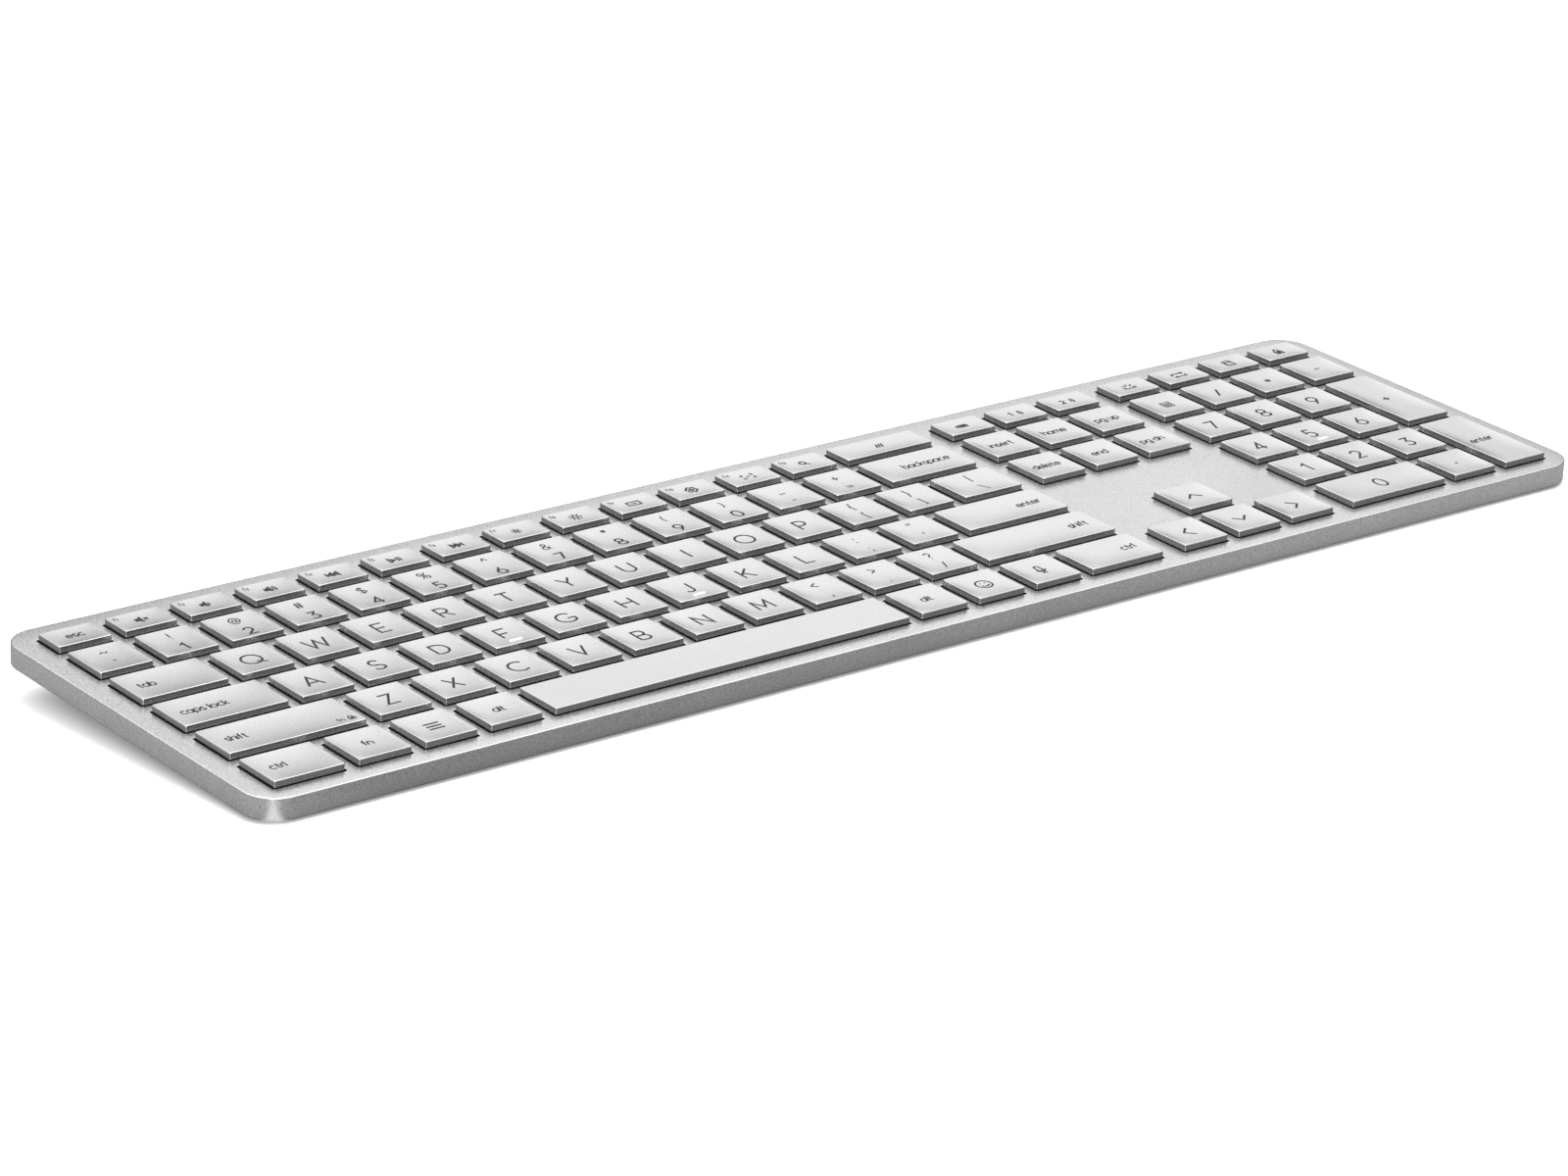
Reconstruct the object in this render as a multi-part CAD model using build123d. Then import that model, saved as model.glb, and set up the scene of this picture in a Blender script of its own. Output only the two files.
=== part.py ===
from build123d import *
import math
import os

os.makedirs("parts", exist_ok=True)

# A slim full-size wireless keyboard: a flat aluminium slab with its own
# opening for every key, on a narrow rear foot that holds the battery and the
# electronics and tips the deck forward.  Everything is drawn in the deck's
# own frame first (x right, y to the back, z up from the deck's top face, with
# x = y = 0 at the front left corner of the left ctrl key's cell) and then
# tipped and put down on the table with its feet on z = 0.

# ---------------------------------------------------------------- dimensions
U = 19.05                  # key pitch, both ways
CAP_GAP = 3.9              # free width between two neighbouring caps
MAIN_R = 14.7383           # right end of the main block, in pitches
NAV_X = 14.928             # left end of the navigation block, in pitches
PAD_X = 18.107             # left end of the number pad, in pitches
FN_H = 0.7245              # depth of the function row's cells, in pitches

DECK_W = 431.5             # slab width
BORDER_L = 5.2             # slab edge to the first cell, left
BORDER_F = 4.2             # the same, front
BORDER_B = 5.8             # the same, back
CORNER_R = 9.0             # slab corner in plan
SLAB_H = 6.0               # height of the slab's side wall
DECK_T = 1.2               # deck thickness over the keys
WALL_T = 1.2               # side wall thickness
EDGE_TOP_R = 0.35
EDGE_BOT_R = 0.6
SLOT = 0.5                 # clearance round a cap in its opening
TILT = 4.2                 # deck angle to the table, degrees
FRONT_GAP = 0.7            # table to the slab's front bottom edge

CAP_UP = 1.85              # cap top above the deck
CAP_DOWN = 1.6             # cap skirt below the deck's top face
CAP_R = 0.4                # cap corner in plan
CAP_EDGE = 0.18            # chamfer on the cap's top edge
CAP_WALL = 1.0
CAP_ROOF = 0.9
TRAVEL = 1.5               # key travel

MEMB_TOP, MEMB_T = -3.3, 0.3
PLATE_T = 0.5
GUIDE_T = 0.4
PLATE_TOP = MEMB_TOP - MEMB_T
GUIDE_TOP = PLATE_TOP - PLATE_T
BASE_T = 1.0               # bottom cover thickness

FOOT_IN = 22.0             # rear foot's ends in from the slab's ends
FOOT_Y0, FOOT_Y1 = 84.0, 109.0
FOOT_WALL = 1.5
FOOT_FLOOR = 1.3
PAD_T = 0.8                # rubber pads under the rear foot

BATTERY = (90.0, 17.0, 4.3)
BOARD = (110.0, 19.0, 1.0)
USB_W, USB_H, USB_L = 8.94, 3.2, 7.3

# ------------------------------------------------------------------- layout
TOP = 5 + FN_H
CELLS = {}


def row(names, x, y, w=1.0, h=1.0):
    for i, n in enumerate(names):
        CELLS[n] = (x + i * w, x + (i + 1) * w, y, y + h)


row(["esc"] + [f"f{i}" for i in range(1, 13)], 0, 5, h=FN_H)
CELLS["fwide"] = (13, MAIN_R, 5, TOP)
row(["grave"] + [f"d{i}" for i in "1234567890"] + ["minus", "equal"], 0, 4)
CELLS["backspace"] = (13, MAIN_R, 4, 5)
CELLS["tab"] = (0, 1.5, 3, 4)
row(list("qwertyuiop") + ["lbracket", "rbracket"], 1.5, 3)
CELLS["backslash"] = (13.5, MAIN_R, 3, 4)
CELLS["caps"] = (0, 1.75, 2, 3)
row(list("asdfghjkl") + ["semicolon", "quote"], 1.75, 2)
CELLS["enter"] = (12.75, MAIN_R, 2, 3)
CELLS["lshift"] = (0, 2.25, 1, 2)
row(list("zxcvbnm") + ["comma", "period", "slash"], 2.25, 1)
CELLS["rshift"] = (12.25, MAIN_R, 1, 2)
BOTTOM = [0, 1.25, 2.25, 3.25, 4.25, 10.25, 11.25, 12.25, 13.25, MAIN_R]
for n, a, b in zip(
    ["lctrl", "fn", "menu", "lalt", "space", "ralt", "emoji", "mic", "rctrl"],
    BOTTOM,
    BOTTOM[1:],
):
    CELLS[n] = (a, b, 0, 1)
row(["nf1", "nf2", "nf3"], NAV_X, 5, h=FN_H)
row(["insert", "home", "pgup"], NAV_X, 4)
row(["delete", "end", "pgdn"], NAV_X, 3)
CELLS["up"] = (NAV_X + 1, NAV_X + 2, 1, 2)
row(["left", "down", "right"], NAV_X, 0)
row(["pf1", "pf2", "pf3", "pf4"], PAD_X, 5, h=FN_H)
row(["num", "div", "mul", "sub"], PAD_X, 4)
row(["p7", "p8", "p9"], PAD_X, 3)
row(["p4", "p5", "p6"], PAD_X, 2)
row(["p1", "p2", "p3"], PAD_X, 1)
CELLS["plus"] = (PAD_X + 3, PAD_X + 4, 2, 4)
CELLS["penter"] = (PAD_X + 3, PAD_X + 4, 0, 2)
CELLS["p0"] = (PAD_X, PAD_X + 2, 0, 1)
CELLS["pdot"] = (PAD_X + 2, PAD_X + 3, 0, 1)

# one node for each key that stands alone, and one for each row or cluster
# whose caps are alike and share a file
KEY_NODES = {
    "pad_num_lock_key": ["num"],
    "pad_divide_key": ["div"],
    "pad_multiply_key": ["mul"],
    "pad_minus_key": ["sub"],
    "pad_7_key": ["p7"],
    "pad_8_key": ["p8"],
    "pad_9_key": ["p9"],
    "pad_plus_key": ["plus"],
    "pad_4_key": ["p4"],
    "pad_5_key": ["p5"],
    "pad_6_key": ["p6"],
    "pad_1_key": ["p1"],
    "pad_2_key": ["p2"],
    "pad_3_key": ["p3"],
    "pad_enter_key": ["penter"],
    "pad_0_key": ["p0"],
    "pad_point_key": ["pdot"],
    "space_bar": ["space"],
    "enter_key": ["enter"],
    "backspace_key": ["backspace"],
    "tab_key": ["tab"],
    "caps_lock_key": ["caps"],
    "left_shift_key": ["lshift"],
    "right_shift_key": ["rshift"],
    "escape_key": ["esc"],
    "up_arrow_key": ["up"],
    "left_arrow_key": ["left"],
    "down_arrow_key": ["down"],
    "right_arrow_key": ["right"],
    "function_keys": [f"f{i}" for i in range(1, 13)] + ["fwide"],
    "nav_function_keys": ["nf1", "nf2", "nf3"],
    "pad_function_keys": ["pf1", "pf2", "pf3", "pf4"],
    "number_row_keys": ["grave"] + [f"d{i}" for i in "1234567890"]
    + ["minus", "equal"],
    "q_row_keys": list("qwertyuiop") + ["lbracket", "rbracket", "backslash"],
    "a_row_keys": list("asdfghjkl") + ["semicolon", "quote"],
    "z_row_keys": list("zxcvbnm") + ["comma", "period", "slash"],
    "modifier_keys": ["lctrl", "fn", "menu", "lalt", "ralt", "emoji", "mic",
                      "rctrl"],
    "nav_block_keys": ["insert", "home", "pgup", "delete", "end", "pgdn"],
}
assert sorted(sum(KEY_NODES.values(), [])) == sorted(CELLS)


def cap_rect(name):
    """Centre and size of a cap, in mm."""
    x0, x1, y0, y1 = [v * U for v in CELLS[name]]
    return (x0 + x1) / 2, (y0 + y1) / 2, x1 - x0 - CAP_GAP, y1 - y0 - CAP_GAP


# ------------------------------------------------------------- slab outline
X0, X1 = -BORDER_L, DECK_W - BORDER_L
Y0, Y1 = -BORDER_F, TOP * U + BORDER_B
XC, YC = (X0 + X1) / 2, (Y0 + Y1) / 2
DECK_D = Y1 - Y0


def slab(z0, z1, inset=0.0):
    s = RectangleRounded(DECK_W - 2 * inset, DECK_D - 2 * inset,
                         CORNER_R - inset)
    return Pos(XC, YC, z0) * extrude(s, z1 - z0)


def block(x0, x1, y0, y1, z0, z1):
    return Pos((x0 + x1) / 2, (y0 + y1) / 2, (z0 + z1) / 2) * Box(
        x1 - x0, y1 - y0, z1 - z0)


def rod(x, y, z0, z1, r):
    return Pos(x, y, (z0 + z1) / 2) * Cylinder(r, z1 - z0)


# --------------------------------------------------- deck frame to the table
t = math.radians(TILT)
# height over the table of a point (y, z) of the deck frame:
# (y - Y0) sin t + (z + SLAB_H) cos t + FRONT_GAP
LIFT = FRONT_GAP - Y0 * math.sin(t) + SLAB_H * math.cos(t)
TIP = Location((0, 0, LIFT), (TILT, 0, 0))


def below(height):
    """Everything under a plane parallel to the table, in the deck frame."""
    return TIP.inverse() * (Pos(XC, YC, height - 50) * Box(900, 500, 100))


# ------------------------------------------------------------ screw positions
CASE_X = [8.0, 110.0, 212.0, 314.0, 413.0]
CASE_F, CASE_B = -0.9, 111.0
CASE_PTS = [(x, CASE_F) for x in CASE_X] + [(x, CASE_B) for x in CASE_X]
PLATE_PTS = [(x, k * U) for k in (1, 3, 5) for x in (40.0, 140.0, 240.0,
                                                     312.0, 383.0)]
FOOT_PTS = [(30.0, 97.0), (215.0, 97.0), (390.0, 97.0)]
FLEX_X0, FLEX_X1, FLEX_Y = 150.0, 170.0, 96.0

nodes = {}

# ------------------------------------------------------------------ top cover
body = slab(-SLAB_H, 0)
body = fillet(body.edges().group_by(Axis.Z)[-1], EDGE_TOP_R)
body = fillet(body.edges().group_by(Axis.Z)[0], EDGE_BOT_R)
body -= slab(-SLAB_H - 1, -DECK_T, WALL_T)
openings = []
for n in CELLS:
    cx, cy, w, h = cap_rect(n)
    openings.append(Pos(cx, cy, -5) * extrude(
        RectangleRounded(w + 2 * SLOT, h + 2 * SLOT, CAP_R + 0.3), 6))
body = body.cut(*openings)
studs = [rod(x, y, -SLAB_H + BASE_T, -DECK_T + 0.4,
             1.6 if y < 0 else 2.0) for x, y in CASE_PTS]
studs += [rod(x, y, MEMB_TOP, -DECK_T + 0.4, 1.3) for x, y in PLATE_PTS]
body = body.fuse(*studs)
bores = [rod(x, y, -SLAB_H, -1.9, 0.85) for x, y in CASE_PTS]
bores += [rod(x, y, -SLAB_H, -1.7, 0.65) for x, y in PLATE_PTS]
body = body.cut(*bores)
nodes["top_cover"] = body

# --------------------------------------------------------------- bottom cover
base = slab(-SLAB_H, -SLAB_H + BASE_T, WALL_T + 0.1)
for x, y in CASE_PTS:
    base -= rod(x, y, -SLAB_H - 1, -SLAB_H + BASE_T + 1, 0.95)
    base -= rod(x, y, -SLAB_H - 1, -SLAB_H + 0.6, 1.6)
base -= block(FLEX_X0 - 2, FLEX_X1 + 2, FLEX_Y - 2, FLEX_Y + 2,
              -SLAB_H - 1, -SLAB_H + BASE_T + 1)
for x, y in FOOT_PTS:
    base += rod(x, y, -SLAB_H - 5.6, -SLAB_H + 0.2, 2.4)
    base -= rod(x, y, -SLAB_H - 7.0, -SLAB_H - 0.4, 1.05)
nodes["bottom_cover"] = base

# ----------------------------------------------------------- rear foot housing
fx0, fx1 = X0 + FOOT_IN, X1 - FOOT_IN
fxc, fyc = (fx0 + fx1) / 2, (FOOT_Y0 + FOOT_Y1) / 2
foot = Pos(fxc, fyc, -SLAB_H - 12) * extrude(
    RectangleRounded(fx1 - fx0, FOOT_Y1 - FOOT_Y0, 4.0), 12)
foot -= below(PAD_T)
foot = chamfer(foot.faces().sort_by(Axis.Z)[0].edges(), 0.5)
hollow = Pos(fxc, fyc, -SLAB_H - 12) * extrude(
    RectangleRounded(fx1 - fx0 - 2 * FOOT_WALL,
                     FOOT_Y1 - FOOT_Y0 - 2 * FOOT_WALL, 2.5), 13)
hollow -= below(PAD_T + FOOT_FLOOR)
foot -= hollow
USB_X, USB_Z = 145.0, -SLAB_H - 4.2
SW_X, SW_Z = 112.0, -SLAB_H - 4.1
LED_X, LED_Z = 124.0, -SLAB_H - 4.1
usb_hole = Pos(USB_X, FOOT_Y1, USB_Z) * (Rot(90, 0, 0) * extrude(
    RectangleRounded(USB_W + 0.3, USB_H + 0.3, 1.6), 4, both=True))
foot -= usb_hole
foot -= block(SW_X - 3.1, SW_X + 3.1, FOOT_Y1 - 3, FOOT_Y1 + 1,
              SW_Z - 1.15, SW_Z + 1.15)
foot -= Pos(LED_X, FOOT_Y1, LED_Z) * (Rot(90, 0, 0) * Cylinder(0.8, 6))
for x, y in FOOT_PTS:
    foot -= rod(x, y, -SLAB_H - 12, -SLAB_H - 1, 1.15)
    foot -= rod(x, y, -SLAB_H - 12, -SLAB_H - 6.7, 2.0)
nodes["rear_foot_housing"] = foot

# --------------------------------------------------- plate, membrane and light
px0, px1, py0, py1 = -3.4, X1 - 1.9, 1.2, 108.4
holes_small = [rod(x, y, -7, 0, 0.75) for x, y in PLATE_PTS]
flex_slot = block(FLEX_X0 - 1, FLEX_X1 + 1, FLEX_Y - 1, FLEX_Y + 1, -7, 0)
plate = block(px0, px1, py0, py1, PLATE_TOP - PLATE_T, PLATE_TOP)
plate = fillet(plate.edges().filter_by(Axis.Z), 3.0)
nodes["support_plate"] = plate.cut(*holes_small, flex_slot)

memb = block(px0 + 0.8, px1 - 0.8, py0 + 0.5, py1 - 0.5, PLATE_TOP, MEMB_TOP)
memb = fillet(memb.edges().filter_by(Axis.Z), 2.0)
nodes["membrane_circuit"] = memb.cut(*holes_small)

guide = block(px0 + 0.8, px1 - 0.8, py0 + 0.5, py1 - 0.5,
              GUIDE_TOP - GUIDE_T, GUIDE_TOP)
guide = fillet(guide.edges().filter_by(Axis.Z), 2.0)
nodes["backlight_guide"] = guide.cut(
    *[rod(x, y, -7, 0, 1.6) for x, y in PLATE_PTS], flex_slot)

# ------------------------------------------------------------------- key caps


def key_cap(name):
    cx, cy, w, h = cap_rect(name)
    c = extrude(RectangleRounded(w, h, CAP_R), CAP_UP + CAP_DOWN)
    c = chamfer(c.edges().group_by(Axis.Z)[-1], CAP_EDGE)
    c -= Pos(0, 0, (CAP_UP + CAP_DOWN - CAP_ROOF) / 2 - 1) * Box(
        w - 2 * CAP_WALL, h - 2 * CAP_WALL, CAP_UP + CAP_DOWN - CAP_ROOF + 2)
    zr = CAP_UP + CAP_DOWN - CAP_ROOF
    for s in (-1, 1):     # clip ribs that the scissor hangs from
        if s > 0 and h > w:
            continue      # the levelling wire runs on this side
        c += Pos(s * 6.05, 0, zr - 0.4) * Box(0.5, 3.0, 1.0)
    return Pos(cx, cy, -CAP_DOWN) * c


for node, names in KEY_NODES.items():
    caps = [key_cap(n) for n in names]
    nodes[node] = caps[0] if len(caps) == 1 else Compound(children=caps)

# ------------------------------------------------ domes, scissors and stabilisers
ROOF_Z = CAP_UP - CAP_ROOF                    # underside of a cap's roof
domes, outers, inners = [], [], []
for n in CELLS:
    cx, cy, w, h = cap_rect(n)
    small = min(w, h) < 12
    rb, rt = (1.9, 1.2) if small else (3.1, 1.7)
    prof = make_face(Polyline(
        (rb - 0.5, MEMB_TOP), (rb, MEMB_TOP), (rb, MEMB_TOP + 0.35),
        (rt, ROOF_Z - 1.0), (rt, ROOF_Z - 0.05), (0, ROOF_Z - 0.05),
        (0, ROOF_Z - 1.4), (rt - 0.6, ROOF_Z - 1.4), close=True))
    domes.append(Pos(cx, cy) * revolve(Plane.XZ * prof, Axis.Z))
    L = 7.2 if small else 11.0
    rise = (ROOF_Z - 0.15) - (MEMB_TOP + 0.1)
    thick, bar = 0.7, 1.1
    a = math.degrees(math.asin((rise - thick) / L))
    zm = (ROOF_Z - 0.15 + MEMB_TOP + 0.1) / 2
    wo, wi = 10.9, 8.5
    ring = Box(wo, L, thick) - Box(wo - 2 * bar, L - 2 * bar, 2)
    outers.append(Pos(cx, cy, zm) * Rot(a, 0, 0) * ring)
    ring = Box(wi, L, thick) - Box(wi - 1.6, L - 2 * bar, 2)
    inners.append(Pos(cx, cy, zm) * Rot(-a, 0, 0) * ring)
nodes["rubber_domes"] = Compound(children=domes)
nodes["scissor_outer_frames"] = Compound(children=outers)
nodes["scissor_inner_frames"] = Compound(children=inners)

# bent wires that keep the wide keys level: a long bar under the cap and two
# arms down to the plate
wires = []
r = 0.35
for n in ("space", "enter", "backspace", "lshift", "rshift", "p0", "caps",
          "tab", "plus", "penter"):
    cx, cy, w, h = cap_rect(n)
    up = h > w
    half = (h if up else w) / 2 - 2.2
    z1, z0, arm = ROOF_Z - 0.5, MEMB_TOP + 0.4, 4.6
    off = 6.1 if not up else 5.9      # the bar runs beside the scissor
    path = [(-half, off - arm, z0), (-half, off, z1), (half, off, z1),
            (half, off - arm, z0)]
    segs = []
    for p, q in zip(path, path[1:]):
        d = Vector(*q) - Vector(*p)
        segs.append(Plane(origin=p, z_dir=d) * extrude(Circle(r), d.length))
    for p in path[1:3]:
        segs.append(Pos(*p) * Sphere(r))
    wsol = segs[0].fuse(*segs[1:])
    if up:
        wsol = Rot(0, 0, -90) * wsol
    wires.append(Pos(cx, cy) * wsol)
nodes["stabiliser_wires"] = Compound(children=wires)

# ------------------------------------------------------------- electronics
bx0 = USB_X - 55.0
by0 = FOOT_Y1 - FOOT_WALL - 0.4 - BOARD[1]
BZ = -SLAB_H - 1.6                               # board's upper face
board = block(bx0, bx0 + BOARD[0], by0, by0 + BOARD[1], BZ - BOARD[2], BZ)
items = [board]
for x, y, w, d, h in ((108, 96, 7, 7, 0.9), (122, 94, 5, 5, 0.8),
                      (134, 98, 9, 6, 1.0), (184, 97, 10, 8, 1.1),
                      (104, 90, 3, 1.6, 0.6), (140, 90.5, 3, 1.6, 0.6)):
    items.append(block(x - w / 2, x + w / 2, y - d / 2, y + d / 2, BZ, BZ + h))
items.append(block(FLEX_X0 - 1, FLEX_X1 + 1, FLEX_Y - 7.2, FLEX_Y - 4.0,
                   BZ, BZ + 1.0))
nodes["main_circuit_board"] = Compound(children=items)

cell = block(246, 246 + BATTERY[0], 88, 88 + BATTERY[1],
             -SLAB_H - 0.4 - BATTERY[2], -SLAB_H - 0.4)
cell = fillet(cell.edges().filter_by(Axis.X), 1.6)
nodes["battery_cell"] = cell

flex = block(FLEX_X0, FLEX_X1, FLEX_Y - 0.1, FLEX_Y + 0.1, BZ, PLATE_TOP)
flex += block(FLEX_X0, FLEX_X1, FLEX_Y - 4.0, FLEX_Y + 0.1, BZ, BZ + 0.2)
nodes["flex_cable"] = flex

UY0, UY1 = FOOT_Y1 - USB_L, FOOT_Y1
shell = extrude(RectangleRounded(USB_W, USB_H, 1.55), USB_L)
shell -= Pos(0, 0, 0.8) * extrude(
    RectangleRounded(USB_W - 0.6, USB_H - 0.6, 1.25), USB_L)
tongue = Pos(0, 0, 0.8) * extrude(Rectangle(6.7, 0.7), USB_L - 1.6)
port = shell + tongue
nodes["usb_c_port"] = Pos(USB_X, UY0, USB_Z) * (Rot(-90, 0, 0) * port)

nodes["power_switch_body"] = block(SW_X - 4.2, SW_X + 4.2, FOOT_Y1 - 5.4,
                                   FOOT_Y1 - 2.2, SW_Z - 1.5, BZ - BOARD[2])
knob = block(SW_X - 2.9, SW_X + 0.1, FOOT_Y1 - 2.1, FOOT_Y1 + 0.6,
             SW_Z - 0.95, SW_Z + 0.95)
knob = fillet(knob.edges().filter_by(Axis.Z).sort_by(Axis.Y)[-2:], 0.4)
knob += block(SW_X - 3.9, SW_X + 1.1, FOOT_Y1 - 2.1, FOOT_Y1 - 1.65,
              SW_Z - 1.3, SW_Z + 1.3)
nodes["power_switch_knob"] = knob
nodes["status_light_pipe"] = Pos(LED_X, FOOT_Y1 - 1.6, LED_Z) * (
    Rot(90, 0, 0) * Cylinder(0.72, 3.2))

# ------------------------------------------------------------------- feet
feet = []
for x in (30.0, 330.0):
    f = Pos(x + 30, 4.6, -SLAB_H - 3) * extrude(
        RectangleRounded(60, 5.2, 2.4), 3)
    feet.append(f - below(0))
nodes["front_rubber_feet"] = Compound(children=feet)
feet = []
for x in (40.0, 320.0):
    f = Pos(x + 30, 97.0, -SLAB_H - 12) * extrude(
        RectangleRounded(60, 9.0, 3.0), 12)
    f -= below(0)
    f -= TIP.inverse() * (Pos(XC, YC, PAD_T + 50) * Box(900, 500, 100))
    feet.append(f)
nodes["rear_rubber_feet"] = Compound(children=feet)

# ------------------------------------------------------------------ screws


def screw(x, y, z_head, head_r, head_h, shank_r, length):
    """A pan head whose underside is at z_head + head_h, shank upwards."""
    s = rod(x, y, z_head, z_head + head_h, head_r)
    s += rod(x, y, z_head + head_h, z_head + head_h + length, shank_r)
    s -= Pos(x, y, z_head) * Box(head_r * 1.1, head_r * 0.28, head_h * 0.9)
    s -= Pos(x, y, z_head) * Box(head_r * 0.28, head_r * 1.1, head_h * 0.9)
    return s


nodes["case_screws"] = Compound(children=[
    screw(x, y, -SLAB_H + 0.05, 1.45, 0.55, 0.75, 3.2) for x, y in CASE_PTS])
nodes["plate_screws"] = Compound(children=[
    screw(x, y, GUIDE_TOP - 0.35, 1.2, 0.35, 0.55, 2.1) for x, y in PLATE_PTS])
nodes["foot_screws"] = Compound(children=[
    screw(x, y, -SLAB_H - 7.25, 1.8, 0.55, 0.95, 5.0) for x, y in FOOT_PTS])

# ------------------------------------------------- put it down on the table
tipped = {}
for name, shape in nodes.items():
    tipped[name] = TIP * shape
bb = tipped["top_cover"].bounding_box()
shift = Pos(-(bb.min.X + bb.max.X) / 2, -(bb.min.Y + bb.max.Y) / 2, 0)
low = Vector(1e9, 1e9, 1e9)
high = Vector(-1e9, -1e9, -1e9)
for name, shape in tipped.items():
    shape = shift * shape
    b = shape.bounding_box()
    low = Vector(*(min(a, c) for a, c in zip(low, b.min)))
    high = Vector(*(max(a, c) for a, c in zip(high, b.max)))
    export_step(shape, f"parts/{name}.step")
print("nodes", len(nodes))
print("box", [round(v, 3) for v in low], [round(v, 3) for v in high])
print("deck", round(DECK_W, 3), "x", round(DECK_D, 3), "lift", round(LIFT, 4),
      "shift", [round(v, 4) for v in shift.position])
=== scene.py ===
import math

import bpy
import numpy as np
from mathutils import Matrix, Vector
from mathutils.geometry import delaunay_2d_cdt

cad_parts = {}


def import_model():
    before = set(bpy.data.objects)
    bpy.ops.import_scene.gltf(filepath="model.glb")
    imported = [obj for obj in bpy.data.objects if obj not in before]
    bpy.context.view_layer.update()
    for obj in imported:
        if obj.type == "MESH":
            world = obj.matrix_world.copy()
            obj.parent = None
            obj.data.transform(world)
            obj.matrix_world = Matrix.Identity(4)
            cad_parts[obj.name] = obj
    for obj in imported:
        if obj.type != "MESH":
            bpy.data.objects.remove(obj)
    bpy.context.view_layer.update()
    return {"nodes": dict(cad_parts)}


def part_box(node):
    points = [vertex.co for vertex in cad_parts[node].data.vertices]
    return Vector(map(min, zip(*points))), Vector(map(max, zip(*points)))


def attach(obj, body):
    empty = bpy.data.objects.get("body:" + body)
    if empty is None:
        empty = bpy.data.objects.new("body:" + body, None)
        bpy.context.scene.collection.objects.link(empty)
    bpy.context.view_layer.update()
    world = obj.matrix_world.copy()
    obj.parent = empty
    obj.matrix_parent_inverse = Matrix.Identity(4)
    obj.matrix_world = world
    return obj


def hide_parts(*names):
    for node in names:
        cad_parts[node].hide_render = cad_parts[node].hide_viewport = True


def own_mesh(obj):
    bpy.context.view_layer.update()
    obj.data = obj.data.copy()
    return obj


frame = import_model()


# --------------------------------------------------------------------------
# The deck's own frame, in mm: x right, y back, z up from the deck's top face,
# x = y = 0 at the front left corner of the left ctrl key's cell.
# world() tips it and puts it where the CAD model stands, in metres.
# --------------------------------------------------------------------------
U = 19.05
GAP = 3.9
MAIN_R, NAV_X, PAD_X, FN_H = 14.7383, 14.928, 18.107, 0.7245
DECK_W, BORDER_L, BORDER_F, BORDER_B = 431.5, 5.2, 4.2, 5.8
SLAB_H, DECK_T, WALL_T, SLOT = 6.0, 1.2, 1.2, 0.5
CAP_UP, CAP_DOWN, CAP_R = 1.85, 1.6, 0.4
TOP = 5 + FN_H
TILT = math.radians(4.2)
CT, ST = math.cos(TILT), math.sin(TILT)
X0, X1 = -BORDER_L, DECK_W - BORDER_L
Y0, Y1 = -BORDER_F, TOP * U + BORDER_B
LIFT = 0.7 - Y0 * ST + SLAB_H * CT
lo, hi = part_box("top_cover")
SX = (lo.x + hi.x) * 500 - (X0 + X1) / 2
# the deck's foremost line is its top front edge, just under the rounding
SY = lo.y * 1000 - (Y0 * CT)
SY = -55.3882


def world(v):
    v = np.asarray(v, float).reshape(-1, 3)
    return np.c_[v[:, 0] + SX, v[:, 1] * CT - v[:, 2] * ST + SY,
                 v[:, 1] * ST + v[:, 2] * CT + LIFT] / 1000.0


# ------------------------------------------------------------------- layout
CELLS = {}


def row(names, x, y, w=1.0, h=1.0):
    for i, n in enumerate(names):
        CELLS[n] = (x + i * w, x + (i + 1) * w, y, y + h)


row(["esc"] + [f"f{i}" for i in range(1, 13)], 0, 5, h=FN_H)
CELLS["fwide"] = (13, MAIN_R, 5, TOP)
row(["grave"] + [f"d{i}" for i in "1234567890"] + ["minus", "equal"], 0, 4)
CELLS["backspace"] = (13, MAIN_R, 4, 5)
CELLS["tab"] = (0, 1.5, 3, 4)
row(list("qwertyuiop") + ["lbracket", "rbracket"], 1.5, 3)
CELLS["backslash"] = (13.5, MAIN_R, 3, 4)
CELLS["caps"] = (0, 1.75, 2, 3)
row(list("asdfghjkl") + ["semicolon", "quote"], 1.75, 2)
CELLS["enter"] = (12.75, MAIN_R, 2, 3)
CELLS["lshift"] = (0, 2.25, 1, 2)
row(list("zxcvbnm") + ["comma", "period", "slash"], 2.25, 1)
CELLS["rshift"] = (12.25, MAIN_R, 1, 2)
_b = [0, 1.25, 2.25, 3.25, 4.25, 10.25, 11.25, 12.25, 13.25, MAIN_R]
for n, a, b in zip(["lctrl", "fn", "menu", "lalt", "space", "ralt", "emoji",
                    "mic", "rctrl"], _b, _b[1:]):
    CELLS[n] = (a, b, 0, 1)
row(["nf1", "nf2", "nf3"], NAV_X, 5, h=FN_H)
row(["insert", "home", "pgup"], NAV_X, 4)
row(["delete", "end", "pgdn"], NAV_X, 3)
CELLS["up"] = (NAV_X + 1, NAV_X + 2, 1, 2)
row(["left", "down", "right"], NAV_X, 0)
row(["pf1", "pf2", "pf3", "pf4"], PAD_X, 5, h=FN_H)
row(["num", "div", "mul", "sub"], PAD_X, 4)
row(["p7", "p8", "p9"], PAD_X, 3)
row(["p4", "p5", "p6"], PAD_X, 2)
row(["p1", "p2", "p3"], PAD_X, 1)
CELLS["plus"] = (PAD_X + 3, PAD_X + 4, 2, 4)
CELLS["penter"] = (PAD_X + 3, PAD_X + 4, 0, 2)
CELLS["p0"] = (PAD_X, PAD_X + 2, 0, 1)
CELLS["pdot"] = (PAD_X + 2, PAD_X + 3, 0, 1)

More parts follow.
